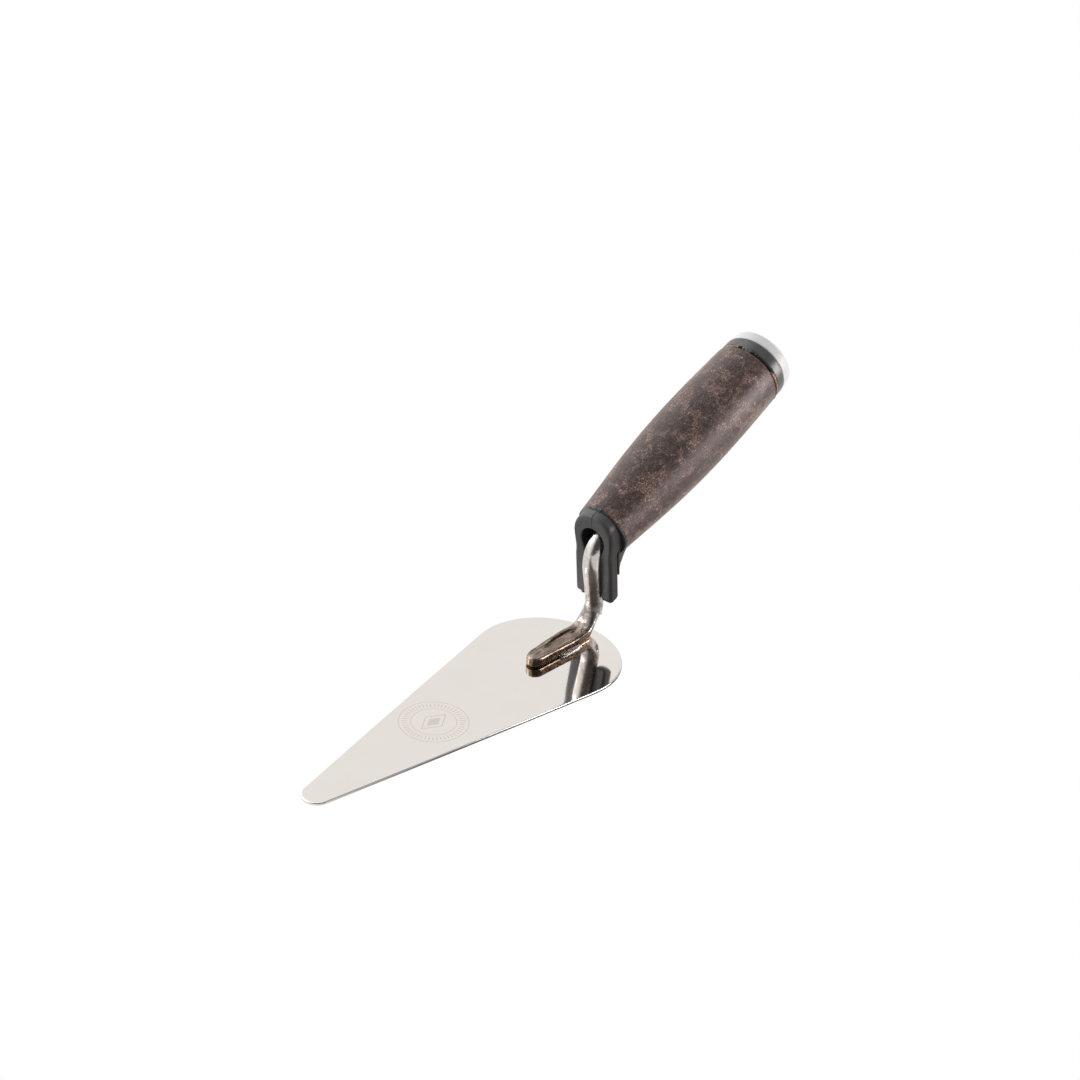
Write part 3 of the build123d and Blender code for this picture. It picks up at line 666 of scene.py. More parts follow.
# foot: plan outline, near side at -Y
near_w = [(134.9, 0.6), (135.25, 1.9), (136.2, 3.1), (137.6, 3.85), (139.6, 4.25), (145.0, 4.55), (152.0, 5.0), (158.0, 5.4),
          (163.0, 5.6), (167.0, 5.3), (171.0, 4.6), (173.0, 3.4)]
far_w = [(134.9, 0.4), (135.3, 1.6), (136.3, 2.7), (137.9, 3.5), (140.5, 4.0), (145.0, 4.3), (152.0, 4.8), (158.0, 5.0),
         (163.0, 5.1), (167.0, 4.9), (171.0, 4.4), (173.0, 3.4)]
pn, ln = cubic([(x, -w) for x, w in near_w])
pf, lf = cubic([(x, w) for x, w in far_w])
plan = [pf(lf * i / 110) for i in range(111)]
plan = [np.array(p) for p in plan][::-1] + [np.array([134.82, 0.1])] + [np.array(pn(ln * i / 110)) for i in range(111)]
PL = np.array(plan)
tp = np.roll(PL, -1, 0) - np.roll(PL, 1, 0)
tp /= np.linalg.norm(tp, axis=1)[:, None]
np_ = np.stack([tp[:, 1], -tp[:, 0]], 1)
if np.sum(np_ * (PL - PL.mean(0))) < 0:
    np_ = -np_


def foot_loop(z, fn):
    out = []
    for q, n_ in zip(PL, np_):
        ins_ = fn(n_)
        p = q - n_ * ins_
        out.append(np.array([p[0], p[1], z]))
    return out


FH = 5.0
lv = [foot_loop(BLADE_T + 0.02, lambda n_: 0.75), foot_loop(BLADE_T + 0.30, lambda n_: 0.62),
      foot_loop(BLADE_T + 0.75, lambda n_: 0.0),
      foot_loop(BLADE_T + 2.4, lambda n_: 0.0)]
for k_ in range(0, 7):
    a = k_ / 6 * PI / 2
    # the near edge is crisp, the far edge and the nose are rubbed rounder
    lv.append([np.array([(q - n_ * (rd * (1 - math.cos(a))))[0], (q - n_ * (rd * (1 - math.cos(a))))[1],
                         BLADE_T + FH - rd * (1 - math.sin(a))])
               for q, n_ in zip(PL, np_)
               for rd in [0.45 + 0.85 * sm(-0.2, 0.9, n_[1]) + 0.45 * sm(0.2, 0.95, -n_[0])]])
vf_, ff_ = skin(lv)
off = len(vs_)
allv = list(vs_) + list(vf_)
allf = list(fs_) + [tuple(i + off for i in q) for q in ff_]
tmp_me = bpy.data.meshes.new("shank_raw")
tmp_me.from_pydata([row(v_) for v_ in allv], [], allf)
tmp_ob = bpy.data.objects.new("shank_raw", tmp_me)
bpy.context.scene.collection.objects.link(tmp_ob)
import bmesh
bm = bmesh.new()
bm.from_mesh(tmp_me)
bmesh.ops.recalc_face_normals(bm, faces=bm.faces)
bmesh.ops.triangulate(bm, faces=[f_ for f_ in bm.faces if len(f_.verts) > 4])
bm.to_mesh(tmp_me)
bm.free()
md = tmp_ob.modifiers.new("remesh", "REMESH")
md.mode = "VOXEL"
md.voxel_size = 0.00024
dg = bpy.context.evaluated_depsgraph_get()
rem = bpy.data.meshes.new_from_object(tmp_ob.evaluated_get(dg))
bpy.data.objects.remove(tmp_ob)
bm = bmesh.new()
bm.from_mesh(rem)
for _ in range(7):
    bmesh.ops.smooth_vert(bm, verts=bm.verts, factor=0.5, use_axis_x=True, use_axis_y=True, use_axis_z=True)
bm.normal_update()
DISH = ((140.4, 0.3, 3.9, 2.9, 0.42, 0.02), (157.3, -0.6, 12.6, 3.6, 0.85, 0.03))
FACETS = ((np.array([175.5, -3.55, 4.6]), np.array([0.42, -0.86, -0.28])),
          (np.array([176.9, 3.4, 8.0]), np.array([0.25, 0.92, -0.30])))
co = np.array([v_.co[:] for v_ in bm.verts]) / MM
no = np.array([v_.normal[:] for v_ in bm.verts])
co[:, 0] -= TIP_X / MM
for i_, v_ in enumerate(bm.verts):
    p = co[i_]
    n_ = no[i_]
    q = p.copy()
    if p[2] > BLADE_T + FH - 1.4 and p[0] < 171 and n_[2] > 0.25:
        d_ = 0.0
        for cx_, cy_, L_, W_, dep, sk_ in DISH:
            e_ = 1 - ((p[0] - cx_) / L_) ** 2 - ((p[1] - cy_ - sk_ * (p[0] - cx_)) / W_) ** 2
            if e_ > 0:
                d_ = max(d_, dep * min(1.0, e_ * 1.8) ** 0.8)
        q[2] -= d_
    for p0_, fn_ in FACETS:
        fn_ = fn_ / np.linalg.norm(fn_)
        h_ = np.dot(q - p0_, fn_)
        if h_ > 0 and np.linalg.norm(q - p0_) < 7.5:
            q = q - fn_ * h_ * 0.9
    if p[2] > BLADE_T + 0.5 and p[0] < 190:
        vp = Vector(p)
        low = 1.0 if p[2] < 16 else 0.45
        w_ = 0.085 * noise.noise(vp * 0.24) + 0.045 * noise.noise(vp * 0.75 + Vector((9, 1, 4))) \
            + 0.018 * noise.noise(vp * 2.1)
        q = q + n_ * w_ * low
    q[2] = max(q[2], BLADE_T + 0.02)
    v_.co = row(q)
bm.to_mesh(rem)
bm.free()
shank = bpy.data.objects.new("forged_shank", rem)
bpy.context.scene.collection.objects.link(shank)
rem.name = "forged_shank"
rem.materials.clear()
rem.materials.append(M_SHANK)
for p in rem.polygons:
    p.use_smooth = True
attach(shank, "root")
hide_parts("shank")

# --------------------------------------------------------------- weld beads
def bead(name, node, x0, x1, sgn, leg, pitch, seed):
    """a fillet bead along the foot's side, with crescent ripples."""
    rnd = random.Random(seed)
    nx = 150
    na = 14
    rings = []
    for i in range(nx + 1):
        u = i / nx
        x = x0 + (x1 - x0) * u
        end = math.sqrt(max(0.0, 1 - abs(2 * u - 1) ** 5))
        ring = []
        for j in range(na + 1):
            a = j / na * PI / 2           # 0 on the blade, 90 degrees up the foot's side
            lag = 0.55 * math.sin(2 * a)  # ripples trail in the middle of the bead
            ph = (x + lag + 0.25 * noise.noise(Vector((x * 0.5, a, seed)))) / pitch
            rip = 0.5 + 0.5 * math.cos(2 * PI * ph)
            rr = leg * end * (1 - 0.10 * (1 - rip)) * (1 + 0.10 * noise.noise(Vector((x * 0.45, a * 1.3, seed + 3))))
            # fillet is a little flatter than a quarter round
            sq = 1 - 0.12 * math.sin(2 * a) ** 2
            y = 4.55 + rr * math.cos(a) * sq * 1.05
            z = BLADE_T + 0.0 + rr * math.sin(a) * sq
            ring.append(np.array([x, sgn * y, z]))
        ring.append(np.array([x, sgn * 4.2, BLADE_T + leg * end * 0.8]))
        ring.append(np.array([x, sgn * 4.2, BLADE_T]))
        rings.append(ring)
    v_, f_ = skin(rings)
    return make(name, v_, f_, M_WELD, replaces=(node,), merge=0.001)


bead("weld_left", "weld_bead_left", 150.0, 166.0, -1, 2.0, 1.0, 3)
bead("weld_right", "weld_bead_right", 150.0, 166.0, 1, 2.1, 1.2, 11)

# weld lip behind the foot, from one side round the heel to the other
path = []
for i in range(61):
    a = -PI / 2 + PI * i / 60
    path.append((168.6 + 5.2 * math.cos(a) ** 0.8 if math.cos(a) > 1e-9 else 168.6, 4.7 * math.sin(a)))
path = [(163.5, -4.75), (166.0, -4.78)] + path + [(166.0, 4.78), (163.5, 4.75)]
rings = []
for i, (x, y) in enumerate(path):
    a = path[max(0, i - 1)]
    b = path[min(len(path) - 1, i + 1)]
    t = np.array([b[0] - a[0], b[1] - a[1]])
    t /= max(1e-9, np.linalg.norm(t))
    nn = np.array([t[1], -t[0]])
    u = i / (len(path) - 1)
    end = math.sqrt(max(0.0, 1 - abs(2 * u - 1) ** 6))
    ring = []
    for j in range(11):
        a_ = j / 10 * PI
        rr = 1.25 * end * (1 + 0.14 * math.cos(2 * PI * i / 3.1) + 0.12 * noise.noise(Vector((i * 0.4, a_, 5))))
        c_, s_ = math.cos(a_), math.sin(a_)
        ring.append(np.array([x + nn[0] * rr * c_, y + nn[1] * rr * c_, BLADE_T + rr * 0.95 * s_]))
    rings.append(ring)
v, f = skin(rings)
make("weld_heel", v, f, M_WELD, replaces=("heel_weld",), merge=0.001)

# -------------------------------------------------------------- finger guard
GX0, GSL = 181.47, 0.1458
nrm_f = np.array([1, 0, GSL]) / math.hypot(1, GSL)
vup = np.array([-GSL, 0, 1]) / math.hypot(1, GSL)
s_face = (GX0 - GSL * A0[2] - A0[0]) / (AX[0] + GSL * AX[2])
F0 = A0 + AX * s_face
HEAD_R, HEAD_V = 10.7, 2.4
EYE = 6.3
LEG, SLOT = 10.2, 4.6
BOT = -30.0
REAR_S = -40.62                            # the head backs onto the collar's disc


def depth_at(vv):
    """how far the guard runs back along the handle axis: the head backs onto the collar, the legs don't."""
    full_ = REAR_S - np.dot(F0 + vup * vv - A0, AX)
    leg = 5.6
    w = sm(-8.5, -3.0, vv)
    return leg * (1 - w) + full_ * w


stations = []                              # (outer y, outer v, inner y, inner v)
for vv in np.linspace(BOT + 1.0, -11.0, 22):
    stations.append((LEG, vv, SLOT, vv))
of, ol = cubic([(LEG, -11.0), (LEG - 0.28, -7.6), (LEG - 0.05, -3.4), (HEAD_R, HEAD_V)], (0, 1), (0, 1))
inf, il = cubic([(SLOT, -11.0), (SLOT + 0.05, -7.2), (5.6, -3.2), (EYE, 0.2)], (0, 1), (0, 1))
for i in range(1, 17):
    o_ = of(ol * i / 16)
    i_ = inf(il * i / 16)
    stations.append((o_[0], o_[1], i_[0], i_[1]))
na = 40
for i in range(1, na + 1):
    a = i / na * PI / 2
    if i == na:
        break
    stations.append((HEAD_R * math.cos(a), HEAD_V + HEAD_R * math.sin(a),
                     EYE * math.cos(a), 0.2 + EYE * math.sin(a)))
for d_ in (1.6, 0.8):
    a = PI / 2 - math.radians(d_)
    stations.append((HEAD_R * math.cos(a), HEAD_V + HEAD_R * math.sin(a), EYE * math.cos(a), 0.2 + EYE * math.sin(a)))
full = [(a, b, c, d, 0.0) for a, b, c, d in stations] + \
       [(0.0, HEAD_V + HEAD_R, 0.0, 0.2 + EYE, 0.16)] + \
       [(-a, b, -c, d, 0.0) for a, b, c, d in reversed(stations)]


def guard_ring(oy, ov, iy, iv, pinch, shrink=0.0, rf=None, rb=0.55):
    if rf is None:
        rf = 1.45 + 0.10 * sm(-7.0, 3.0, ov)
        rb = 1.25 - 0.65 * sm(-9.0, -4.0, ov)
    e = np.array([oy - iy, ov - iv])
    w = np.linalg.norm(e)
    e = e / w
    D = depth_at((ov + iv) / 2)
    lo, hi = pinch + shrink, w - pinch - shrink
    f0, f1 = pinch + shrink * 0.0, D - pinch
    pts = []

    def corner(cx, cz, a0, r):
        for k_ in range(6):
            a_ = a0 + k_ / 5 * PI / 2
            pts.append((cx + r * math.cos(a_), cz + r * math.sin(a_)))
    rf2 = min(rf, w * 0.42)
    ri = min(0.6, w * 0.3)
    # a runs inner to outer, z runs front to back
    for k_ in range(1, 5):
        t = k_ / 5
        pts.append((lo + ri + (hi - rf2 - lo - ri) * t, f0))
    corner(hi - rf2, f0 + rf2, -PI / 2, rf2)
    for k_ in range(1, 5):
        pts.append((hi, f0 + rf2 + (f1 - rb - f0 - rf2) * k_ / 5))
    corner(hi - rb, f1 - rb, 0, rb)
    for k_ in range(1, 5):
        pts.append((hi - rb + (lo + 0.3 - hi + rb) * k_ / 5, f1))
    corner(lo + 0.3, f1 - 0.3, PI / 2, 0.3)
    for k_ in range(1, 5):
        pts.append((lo, f1 - 0.3 + (f0 + ri - f1 + 0.3) * k_ / 5))
    corner(lo + ri, f0 + ri, PI, ri)
    ring = []
    for a_, z_ in pts:
        # the outer wall flares out to the collar at the back of the head
        fl = 0.95 * sm(-4.0, 1.0, ov) * (1 - sm(11.0, 12.8, ov)) * sm(D - 2.2, D, z_) * sm(w * 0.5, w, a_)
        fl *= 1.0 if oy > 0 else 0.25
        # and the arch is hollowed behind its front lip
        hol = min(1.7, w * 0.4) * sm(-5.0, -2.0, ov) * sm(0.9, 2.4, z_) * (1 - sm(0.3, w * 0.45, a_))
        y = iy + e[0] * (a_ + fl + hol)
        vv = iv + e[1] * (a_ + fl + hol)
        ring.append(F0 + YV * y + vup * vv + AX * z_)
    return ring


rings = []
NEAR = []
for oy_, ov_, iy_, iv_, pn_ in full:
    if oy_ < 0:
        tight = (0.12 + 0.50 * sm(-29.0, -13.0, iv_)) * (1 - sm(-11.0, -4.0, iv_))
        iy_ = iy_ + tight
    NEAR.append((oy_, ov_, iy_, iv_, pn_))
full = NEAR
body = [guard_ring(*st) for st in full]
# rounded feet under the two legs
def leg_end(st, sgn):
    oy, ov, iy, iv = st
    res = []
    rbm = 2.0
    base = guard_ring(sgn * oy, ov, sgn * iy, iv, 0.0)
    c = sum(base) / len(base)
    for k_ in range(1, 7):
        a_ = k_ / 6 * PI / 2
        down = rbm * math.sin(a_)
        ins_ = rbm * (1 - math.cos(a_))
        ring = []
        for p in base:
            dlt = c - p
            y_in = math.copysign(min(abs(dlt[1]), ins_), dlt[1]) if abs(dlt[1]) > 1e-9 else 0
            fwdv = np.dot(dlt, AX)
            z_in = math.copysign(min(abs(fwdv), ins_), fwdv) if abs(fwdv) > 1e-9 else 0
            ring.append(p + YV * y_in + AX * z_in - vup * down)
        res.append(ring)
    return res


left_end = leg_end(stations[0], 1)
right_end = leg_end((LEG, stations[0][1], SLOT - 0.12, stations[0][3]), -1)
rings = list(reversed(left_end)) + body + right_end
v, f = skin(rings)
guard = make("finger_guard_moulding", v, f, M_GUARD, replaces=("finger_guard",), sharp=60)

# mould nib at the back of the parting line
def blob(name, centre, rx, ry, rz, mat, seed=1, n1=14, n2=10, axes=None):
    rings = []
    X, Y, Z = axes if axes is not None else (AX, YV, UP)
    for i in range(1, n2):
        a = PI * i / n2
        ring = []
        for j in range(n1):
            b = 2 * PI * j / n1
            k_ = 1 + 0.08 * noise.noise(Vector((math.cos(b) * 2 + seed, math.sin(b) * 2, a * 2)))
            ring.append(centre + (X * rx * math.cos(a) + Y * ry * math.sin(a) * math.cos(b)
                                  + Z * rz * math.sin(a) * math.sin(b)) * k_)
        rings.append(ring)
    v_, f_ = skin(rings)
    return make(name, v_, f_, mat)


blob("guard_mould_nib", A0 + AX * (-39.6) + UP * 13.3 - YV * 0.9, 1.0, 0.75, 0.85, M_GUARD, 4)
PIP = F0 + YV * 7.1 + vup * (BOT - 1.15) + AX * 1.7
blob("guard_gate_pip", PIP, 1.0, 1.2, 1.15, M_GLOSS, 8,
     axes=(AX, YV, vup))

# ------------------------------------------------------------- ferrule collar
cols_c = list(np.linspace(0, 2 * PI, 145)[:-1])
profc = [(-42.2, 4.3), (-42.2, 6.0), (-42.0, 6.2), (-40.62, 6.2), (-40.6, 12.3), (-40.5, 12.75), (-40.25, 12.92), (-39.95, 12.92),
         (-39.82, 12.8), (-39.82, 4.3)]
rings = turned(profc, cols_c)
verts, faces = skin(rings, cap0=False, cap1=False)
nR, m_ = len(rings), len(cols_c)
for j in range(m_):
    k = (j + 1) % m_
    faces.append(((nR - 1) * m_ + j, (nR - 1) * m_ + k, k, j))
make("ferrule_disc", verts, faces, M_COLLAR, replaces=("ferrule_collar",), sharp=50)
# a plate in the shape of the guard stands behind its legs, as far down as the skirt
for sgn in (1, -1):
    rings = []
    n_st = 26
    for i in range(n_st + 1):
        vv = -18.9 + (14.9) * i / n_st
        end = min(1.0, math.sqrt(max(0.0, 1 - (1 - min(1, (vv + 18.9) / 1.2)) ** 2)) + 0.02)
        oy = LEG - 0.05 if vv < -8 else LEG - 0.05 - 0.25 * sm(-8, -6, vv) + 0.3 * sm(-6, -4, vv)
        iy = SLOT + 0.1
        f0_ = 5.62 + (depth_at(vv) - 5.6)
        th_ = 1.02
        mid = (oy + iy) / 2
        hw_ = (oy - iy) / 2 - 0.6 * (1 - end)
        ring = []
        m4 = 28
        for k_ in range(m4):
            a_ = 2 * PI * k_ / m4
            c_, s_ = math.cos(a_), math.sin(a_)
            yy = mid + hw_ * math.copysign(abs(c_) ** 0.25, c_)
            zz = f0_ + th_ / 2 + th_ / 2 * math.copysign(abs(s_) ** 0.25, s_) * end
            ring.append(F0 + YV * sgn * yy + vup * vv + AX * zz)
        rings.append(ring)
    verts, faces = skin(rings)
    make("ferrule_skirt_right" if sgn > 0 else "ferrule_skirt_left", verts, faces, M_COLLAR, sharp=50)

# the sleeve's front edge runs down behind the skirt in a hollow curve
def front_lip(name, sgn):
    rings = []
    n_st = 30
    for i in range(n_st + 1):
        vv = -18.5 + 9.9 * i / n_st
        t = min(1.0, (vv + 18.5) / 5.4)
        z0 = 6.66
        z1 = z0 + 0.12 + 1.4 * t ** 2.3 + 0.9 * max(0.0, vv + 13.5) ** 1.2
        u_ = vv * float(np.dot(vup, UP))
        yi = max(5.2, math.sqrt(max(0.0, 12.95 ** 2 - u_ * u_))) if u_ > -12.95 else 5.2
        yo = 9.95 - 0.25 * (1 - t) - 0.45 * sm(-13.0, -8.6, vv)
        yi = min(yi, yo - 0.12)
        cy_, cz_ = (yi + yo) / 2, (z0 + z1) / 2
        hy, hz = (yo - yi) / 2, (z1 - z0) / 2
        ring = []
        for k_ in range(32):
            a_ = 2 * PI * k_ / 32
            c_, s_ = math.cos(a_), math.sin(a_)
            y = cy_ + hy * math.copysign(abs(c_) ** 0.5, c_)
            z = cz_ + hz * math.copysign(abs(s_) ** 0.5, s_)
            ring.append(F0 + YV * (sgn * y) + vup * vv + AX * z)
        rings.append(ring)
    v_, f_ = skin(rings)
    return make(name, v_, f_, M_GRIP, sharp=60)


front_lip("grip_front_lip_right", -1)
front_lip("grip_front_lip_left", 1)

# -------------------------------------------------------------------- grip
GP = [(-39.8, 13.0), (-28.7, 14.06), (-17.2, 15.26), (-5.8, 16.30), (7.7, 17.20), (21.1, 17.75), (34.5, 17.90),
      (47.9, 17.76), (61.3, 17.42), (73.2, 17.05)]
gf, gl = cubic(GP)
samples = [gf(gl * i / 600) for i in range(601)]
SS = [p[0] for p in samples]
RR = [p[1] for p in samples]


def grip_r(s):
    return float(np.interp(s, SS, RR))


prof = [(-39.8, 9.02), (-39.8, 10.5), (-39.8, 12.2)]
for i in range(1, 8):
    a = i / 7 * PI / 2
    prof.append((-39.8 + 0.6 * (1 - math.cos(a)), 12.4 + 0.6 * math.sin(a)))
s = -38.6
while s < 70.6:
    prof.append((s, grip_r(s)))
    s += 0.7
# rolled edge, groove, thin rear lip
for i in range(0, 6):
    a = i / 5 * PI / 2
    prof.append((70.6 + 0.55 * math.sin(a), grip_r(70.6) - 0.5 * (1 - math.cos(a))))
prof += [(71.2, 16.2), (71.25, 15.7), (71.75, 15.7), (71.85, 16.0)]
lip0 = len(prof)
prof += [(71.95, 16.6), (72.2, 16.75), (72.6, 16.75), (72.95, 16.65), (73.15, 16.3)]
lip1 = len(prof)
prof += [(73.18, 14.0), (73.18, 9.02)]

cols = list(np.linspace(0, 2 * PI, 361)[:-1])
extra = [math.radians(x) for x in (4.5, 4.95, 5.4, 5.85, 6.3)]
cols = sorted(set(cols + extra))
LIP = set(range(lip0, lip1))


def lip_cut(a):
    """the lip is missing over the top right, ragged elsewhere."""
    d = math.degrees(a) % 360
    gap = sm(3, 6, d) * (1 - sm(60, 68, d))
    t2 = sm(352, 354, d) * (1 - sm(359, 361, d))
    return max(gap, t2)


rings = []
for i, (s_, r_) in enumerate(prof):
    ring = []
    for a in cols:
        rr = r_
        if r_ > 12.8 and i < lip0:
            p = Vector((s_ * 0.35, r_ * math.cos(a) * 0.35, r_ * math.sin(a) * 0.35))
            rr += 0.035 * noise.noise(p) + 0.018 * noise.noise(p * 3.1)
            # moulding seam along the top
            d = math.degrees(a) - 5.4
            d = d - 360 if d > 180 else d
            w = max(0.0, 1 - abs(d) / 0.8)
            wob = 0.6 + 0.4 * noise.noise(Vector((s_ * 0.5, 3, 1)))
            rr += 0.09 * w * wob
        if i in LIP:
            q = Vector((math.cos(a) * 9, math.sin(a) * 9, s_ * 1.3))
            rr += 0.22 * noise.noise(q) + 0.12 * noise.noise(q * 2.7)
            dg = math.degrees(a) % 360
            rr += 0.30 * sm(66, 80, dg) * (1 - sm(128, 150, dg)) * (1 + noise.noise(q * 1.9))
            rr -= 1.9 * lip_cut(a)
        ring.append(A0 + AX * s_ + (UP * math.cos(a) - YV * math.sin(a)) * rr)
    rings.append(ring)
m_ = len(cols)
rings_closed = rings
verts, faces = skin(rings_closed, cap0=False, cap1=False)
nR = len(rings_closed)
for j in range(m_):
    k = (j + 1) % m_
    faces.append(((nR - 1) * m_ + j, (nR - 1) * m_ + k, k, j))
grip = make("grip_sleeve", verts, faces, M_GRIP, replaces=("grip",), sharp=50)

# ------------------------------------------------------------------ end ring
cols = list(np.linspace(0, 2 * PI, 241)[:-1])
TABS = [math.radians(x) for x in (10, 100, 190, 280)]


def tab(a):
    best = 0.0
    for t in TABS:
        d = abs((a - t + PI) % (2 * PI) - PI) * 16.0
        best = max(best, 1 - sm(1.4, 1.75, d))
    return best


prof = [(73.22, 6.05), (73.22, 12.8), (73.2, 15.4), (73.25, 16.2), (73.45, 16.55), (73.75, 16.68), (74.5, 16.7), (76.5, 16.7),
        (78.1, 16.7), (78.45, 16.62), (78.65, 16.4), (78.7, 15.0), (78.7, 6.05)]
rings = []
for i, (s_, r_) in enumerate(prof):
    ring = []
    for a in cols:
        ss = s_
        rr = r_
        if i in (2, 3):
            ss -= 1.55 * tab(a)
        elif i == 4:
            ss -= 1.2 * tab(a)
        if i in (3, 4, 5):
            rr += 0.05 * noise.noise(Vector((math.cos(a) * 5, math.sin(a) * 5, s_)))
        ring.append(A0 + AX * ss + (UP * math.cos(a) - YV * math.sin(a)) * rr)
    rings.append(ring)
verts, faces = skin(rings, cap0=False, cap1=False)
nR, m_ = len(rings), len(cols)
for j in range(m_):
    k = (j + 1) % m_
    faces.append(((nR - 1) * m_ + j, (nR - 1) * m_ + k, k, j))
make("butt_ring", verts, faces, M_RING, replaces=("end_ring",), sharp=50)

# a little flash squeezed out between the ring and the grip
for i_, (deg, sz) in enumerate(((8.5, 0.75), (17.0, 1.0), (26.5, 0.8))):
    a = math.radians(deg)
    rad_ = UP * math.cos(a) - YV * math.sin(a)
    tan_ = -UP * math.sin(a) - YV * math.cos(a)
    blob("ring_flash_%d" % (i_ + 1), A0 + AX * 72.75 + rad_ * 16.25, 0.55 * sz, 1.5 * sz, 0.55 * sz, M_GLOSS,
         20 + i_ * 3, axes=(AX, tan_, rad_))

# ------------------------------------------------------------------- end cap
prof = [(62.8, 0.01), (62.7, 5.2), (63.3, 5.95), (70.0, 5.98), (78.72, 5.98), (78.72, 14.5), (78.74, 16.1), (78.9, 16.32), (79.3, 16.4)]
for s_ in (80.2, 81.4, 82.4):
    prof.append((s_, 16.4))
for i in range(1, 11):
    a = i / 10 * PI / 2
    prof.append((82.9 + 1.7 * math.sin(a), 14.7 + 1.7 * math.cos(a)))
for r_ in (13.0, 10.5, 7.0, 3.5, 0.01):
    prof.append((84.6 + 0.08 * (1 - (r_ / 14.7) ** 2), r_))
cols = list(np.linspace(0, 2 * PI, 193)[:-1])
rings = turned(prof, cols)
verts, faces = skin(rings)
make("butt_cap", verts, faces, M_CAP, replaces=("end_cap",), merge=0.02, sharp=45)

# CAD nodes that stay: better materials
for nm, mt in (("handle_core", M_CORE),):
    ob = nodes[nm]
    ob.data.materials.clear()
    ob.data.materials.append(mt)

# --------------------------------------------------------------- camera
cam_d = bpy.data.cameras.new("camera")
cam_d.sensor_width = 36.0
cam_d.lens = 1955.0 * 36.0 / 1080.0
cam_d.clip_start = 0.01
cam_d.clip_end = 50
cam = bpy.data.objects.new("camera", cam_d)
bpy.context.scene.collection.objects.link(cam)
cr = Vector((0.6398906, -0.7663301, 0.0572552))
cu = Vector((0.3400743, 0.3492011, 0.8731598))
cb = Vector((-0.6891222, -0.5392558, 0.4840597))
mw = Matrix(((cr.x, cu.x, cb.x, TIP_X - 0.431811),
             (cr.y, cu.y, cb.y, -0.445249),
             (cr.z, cu.z, cb.z, 0.463644),
             (0, 0, 0, 1)))
cam.matrix_world = mw
bpy.context.scene.camera = cam

# ---------------------------------------------------------------- floor
# the paper sweep reads pure white behind the object, and throws a softer light back at it
fm = bpy.data.materials.new("pale_floor")
fm.use_nodes = True
nt = fm.node_tree
nt.nodes.clear()
o_ = nt.nodes.new("ShaderNodeOutputMaterial")
mxs = nt.nodes.new("ShaderNodeMixShader")
lpf = nt.nodes.new("ShaderNodeLightPath")
em = nt.nodes.new("ShaderNodeEmission")
em.inputs["Color"].default_value = (1, 1, 1, 1)
em.inputs["Strength"].default_value = 1.0
em2 = nt.nodes.new("ShaderNodeEmission")
em2.inputs["Color"].default_value = (1, 0.98, 0.96, 1)
tcf = nt.nodes.new("ShaderNodeTexCoord")
sxf = nt.nodes.new("ShaderNodeSeparateXYZ")
nt.links.new(tcf.outputs["Object"], sxf.inputs[0])


def frange(v_, a_, b_, c_, d_):
    n_ = nt.nodes.new("ShaderNodeMapRange")
    n_.interpolation_type = "SMOOTHSTEP"
    for i_, x_ in ((1, a_), (2, b_), (3, c_), (4, d_)):
        n_.inputs[i_].default_value = x_
    nt.links.new(v_, n_.inputs[0])
    return n_.outputs[0]


mfl = nt.nodes.new("ShaderNodeMath")
mfl.operation = "MULTIPLY"
nt.links.new(frange(sxf.outputs[0], TIP_X + 0.196, TIP_X + 0.168, 0, 1), mfl.inputs[0])
nt.links.new(frange(sxf.outputs[1], 0.0, -0.020, 0, 1), mfl.inputs[1])


def fmath(op, a_, b_):
    n_ = nt.nodes.new("ShaderNodeMath")
    n_.operation = op
    for i_, v_ in enumerate((a_, b_)):
        if isinstance(v_, (int, float)):
            n_.inputs[i_].default_value = v_
        else:
            nt.links.new(v_, n_.inputs[i_])
    return n_.outputs[0]


# contact shade along the blade's near edge, and a shaded patch to the right of the neck
z1 = fmath("MULTIPLY", mfl.outputs[0], frange(sxf.outputs[1], -0.062, -0.044, 0, 1))
z2 = fmath("MULTIPLY", frange(sxf.outputs[0], TIP_X + 0.205, TIP_X + 0.235, 0, 1),
           frange(sxf.outputs[0], TIP_X + 0.310, TIP_X + 0.275, 0, 1))
z2 = fmath("MULTIPLY", z2, frange(sxf.outputs[1], -0.025, -0.048, 0, 1))
z2 = fmath("MULTIPLY", z2, frange(sxf.outputs[1], -0.18, -0.12, 0, 1))
dim = fmath("SUBTRACT", 1.0, fmath("MULTIPLY", z1, 1 - FLOOR_BOUNCE[1] / FLOOR_BOUNCE[0]))
dim = fmath("MULTIPLY", dim, fmath("SUBTRACT", 1.0, fmath("MULTIPLY", z2, 0.88)))
nt.links.new(fmath("MULTIPLY", dim, FLOOR_BOUNCE[0]), em2.inputs["Strength"])
nt.links.new(lpf.outputs["Is Camera Ray"], mxs.inputs[0])
nt.links.new(em2.outputs[0], mxs.inputs[1])
nt.links.new(em.outputs[0], mxs.inputs[2])
nt.links.new(mxs.outputs[0], o_.inputs[0])
fme = bpy.data.meshes.new("floor")
S = 4.0
fme.from_pydata([(-S, -S, -0.0002), (S, -S, -0.0002), (S, S, -0.0002), (-S, S, -0.0002)], [], [(0, 1, 2, 3)])
floor = bpy.data.objects.new("floor", fme)
fme.materials.append(fm)
bpy.context.scene.collection.objects.link(floor)

# ---------------------------------------------------------------- light
world = bpy.data.worlds.new("studio")
bpy.context.scene.world = world
world.use_nodes = True
wt = world.node_tree
wt.nodes.clear()


def wn(kind):
    return wt.nodes.new(kind)


def wmath(op, a_, b_):
    n_ = wn("ShaderNodeMath")
    n_.operation = op
    for i_, v_ in enumerate((a_, b_)):
        if isinstance(v_, (int, float)):
            n_.inputs[i_].default_value = v_
        else:
            wt.links.new(v_, n_.inputs[i_])
    return n_.outputs[0]


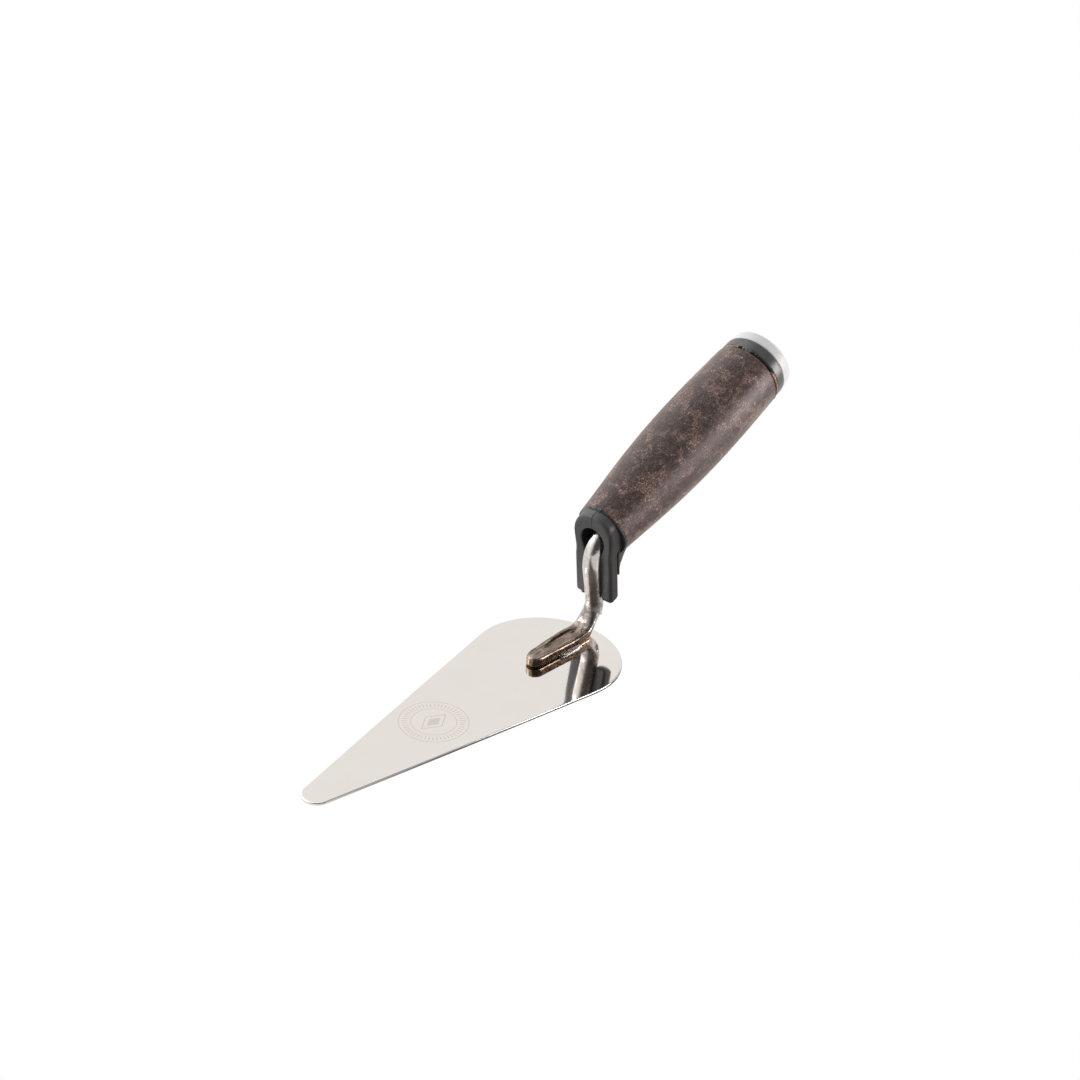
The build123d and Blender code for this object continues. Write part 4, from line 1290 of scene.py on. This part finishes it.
def wrange(v_, a_, b_, c_, d_):
    n_ = wn("ShaderNodeMapRange")
    n_.interpolation_type = "SMOOTHSTEP"
    for i_, x_ in ((1, a_), (2, b_), (3, c_), (4, d_)):
        n_.inputs[i_].default_value = x_
    wt.links.new(v_, n_.inputs[0])
    return n_.outputs[0]


wtc = wn("ShaderNodeTexCoord")


def toward(d_):
    n_ = wn("ShaderNodeVectorMath")
    n_.operation = "DOT_PRODUCT"
    n_.inputs[1].default_value = Vector(d_).normalized()
    wt.links.new(wtc.outputs["Generated"], n_.inputs[0])
    return n_.outputs["Value"]


back = wrange(toward((0.77, 0.63, 0.0)), *SKY_BACK)
zz_ = toward((0, 0, 1))
back = wmath("MULTIPLY", back, wrange(zz_, 0.66, 0.86, 1.0, SKY_TOP))
left = wrange(toward((-0.55, 0.80, 0.25)), *SKY_LEFT)
total = wmath("ADD", wmath("ADD", back, left), SKY_BASE)
total = wmath("ADD", total, wrange(toward((0.50, -0.86, 0.04)), *SKY_RIGHT))
total = wmath("ADD", total, wrange(zz_, 0.55, 0.95, 0.0, SKY_CEIL))
bg = wn("ShaderNodeBackground")
bg.inputs["Color"].default_value = (1.0, 0.985, 0.965, 1)
wt.links.new(total, bg.inputs["Strength"])
bgc = wn("ShaderNodeBackground")
bgc.inputs["Color"].default_value = (1, 1, 1, 1)
bgc.inputs["Strength"].default_value = 1.0
lp = wn("ShaderNodeLightPath")
ms = wn("ShaderNodeMixShader")
wo = wn("ShaderNodeOutputWorld")
wt.links.new(lp.outputs["Is Camera Ray"], ms.inputs[0])
wt.links.new(bg.outputs[0], ms.inputs[1])
wt.links.new(bgc.outputs[0], ms.inputs[2])
wt.links.new(ms.outputs[0], wo.inputs[0])


def area(name, loc, target, size, power, size_y=None, color=(1, 1, 1)):
    L = bpy.data.lights.new(name, "AREA")
    L.energy = power
    L.color = color
    L.size = size
    if size_y:
        L.shape = "RECTANGLE"
        L.size_y = size_y
    ob = bpy.data.objects.new(name, L)
    bpy.context.scene.collection.objects.link(ob)
    d = Vector(target) - Vector(loc)
    ob.rotation_mode = "QUATERNION"
    ob.location = loc
    ob.rotation_quaternion = d.to_track_quat("-Z", "Y")
    return ob


area("right_box", (0.74, -1.03, 0.20), (0.08, 0, 0.08), 0.75, RIGHT_POWER, 0.62, (1.0, 0.94, 0.92))
area("top_box", (0.20, 0.62, 1.20), (0.06, 0, 0.06), 0.8, TOP_POWER, 0.8)
area("left_box", (-0.75, 0.95, 0.75), (0.06, 0, 0.06), 0.6, LEFT_POWER, 0.5)

vs = bpy.context.scene.view_settings
vs.view_transform = "Standard"
vs.look = "None"
vs.exposure = 0.0
vs.gamma = 1.0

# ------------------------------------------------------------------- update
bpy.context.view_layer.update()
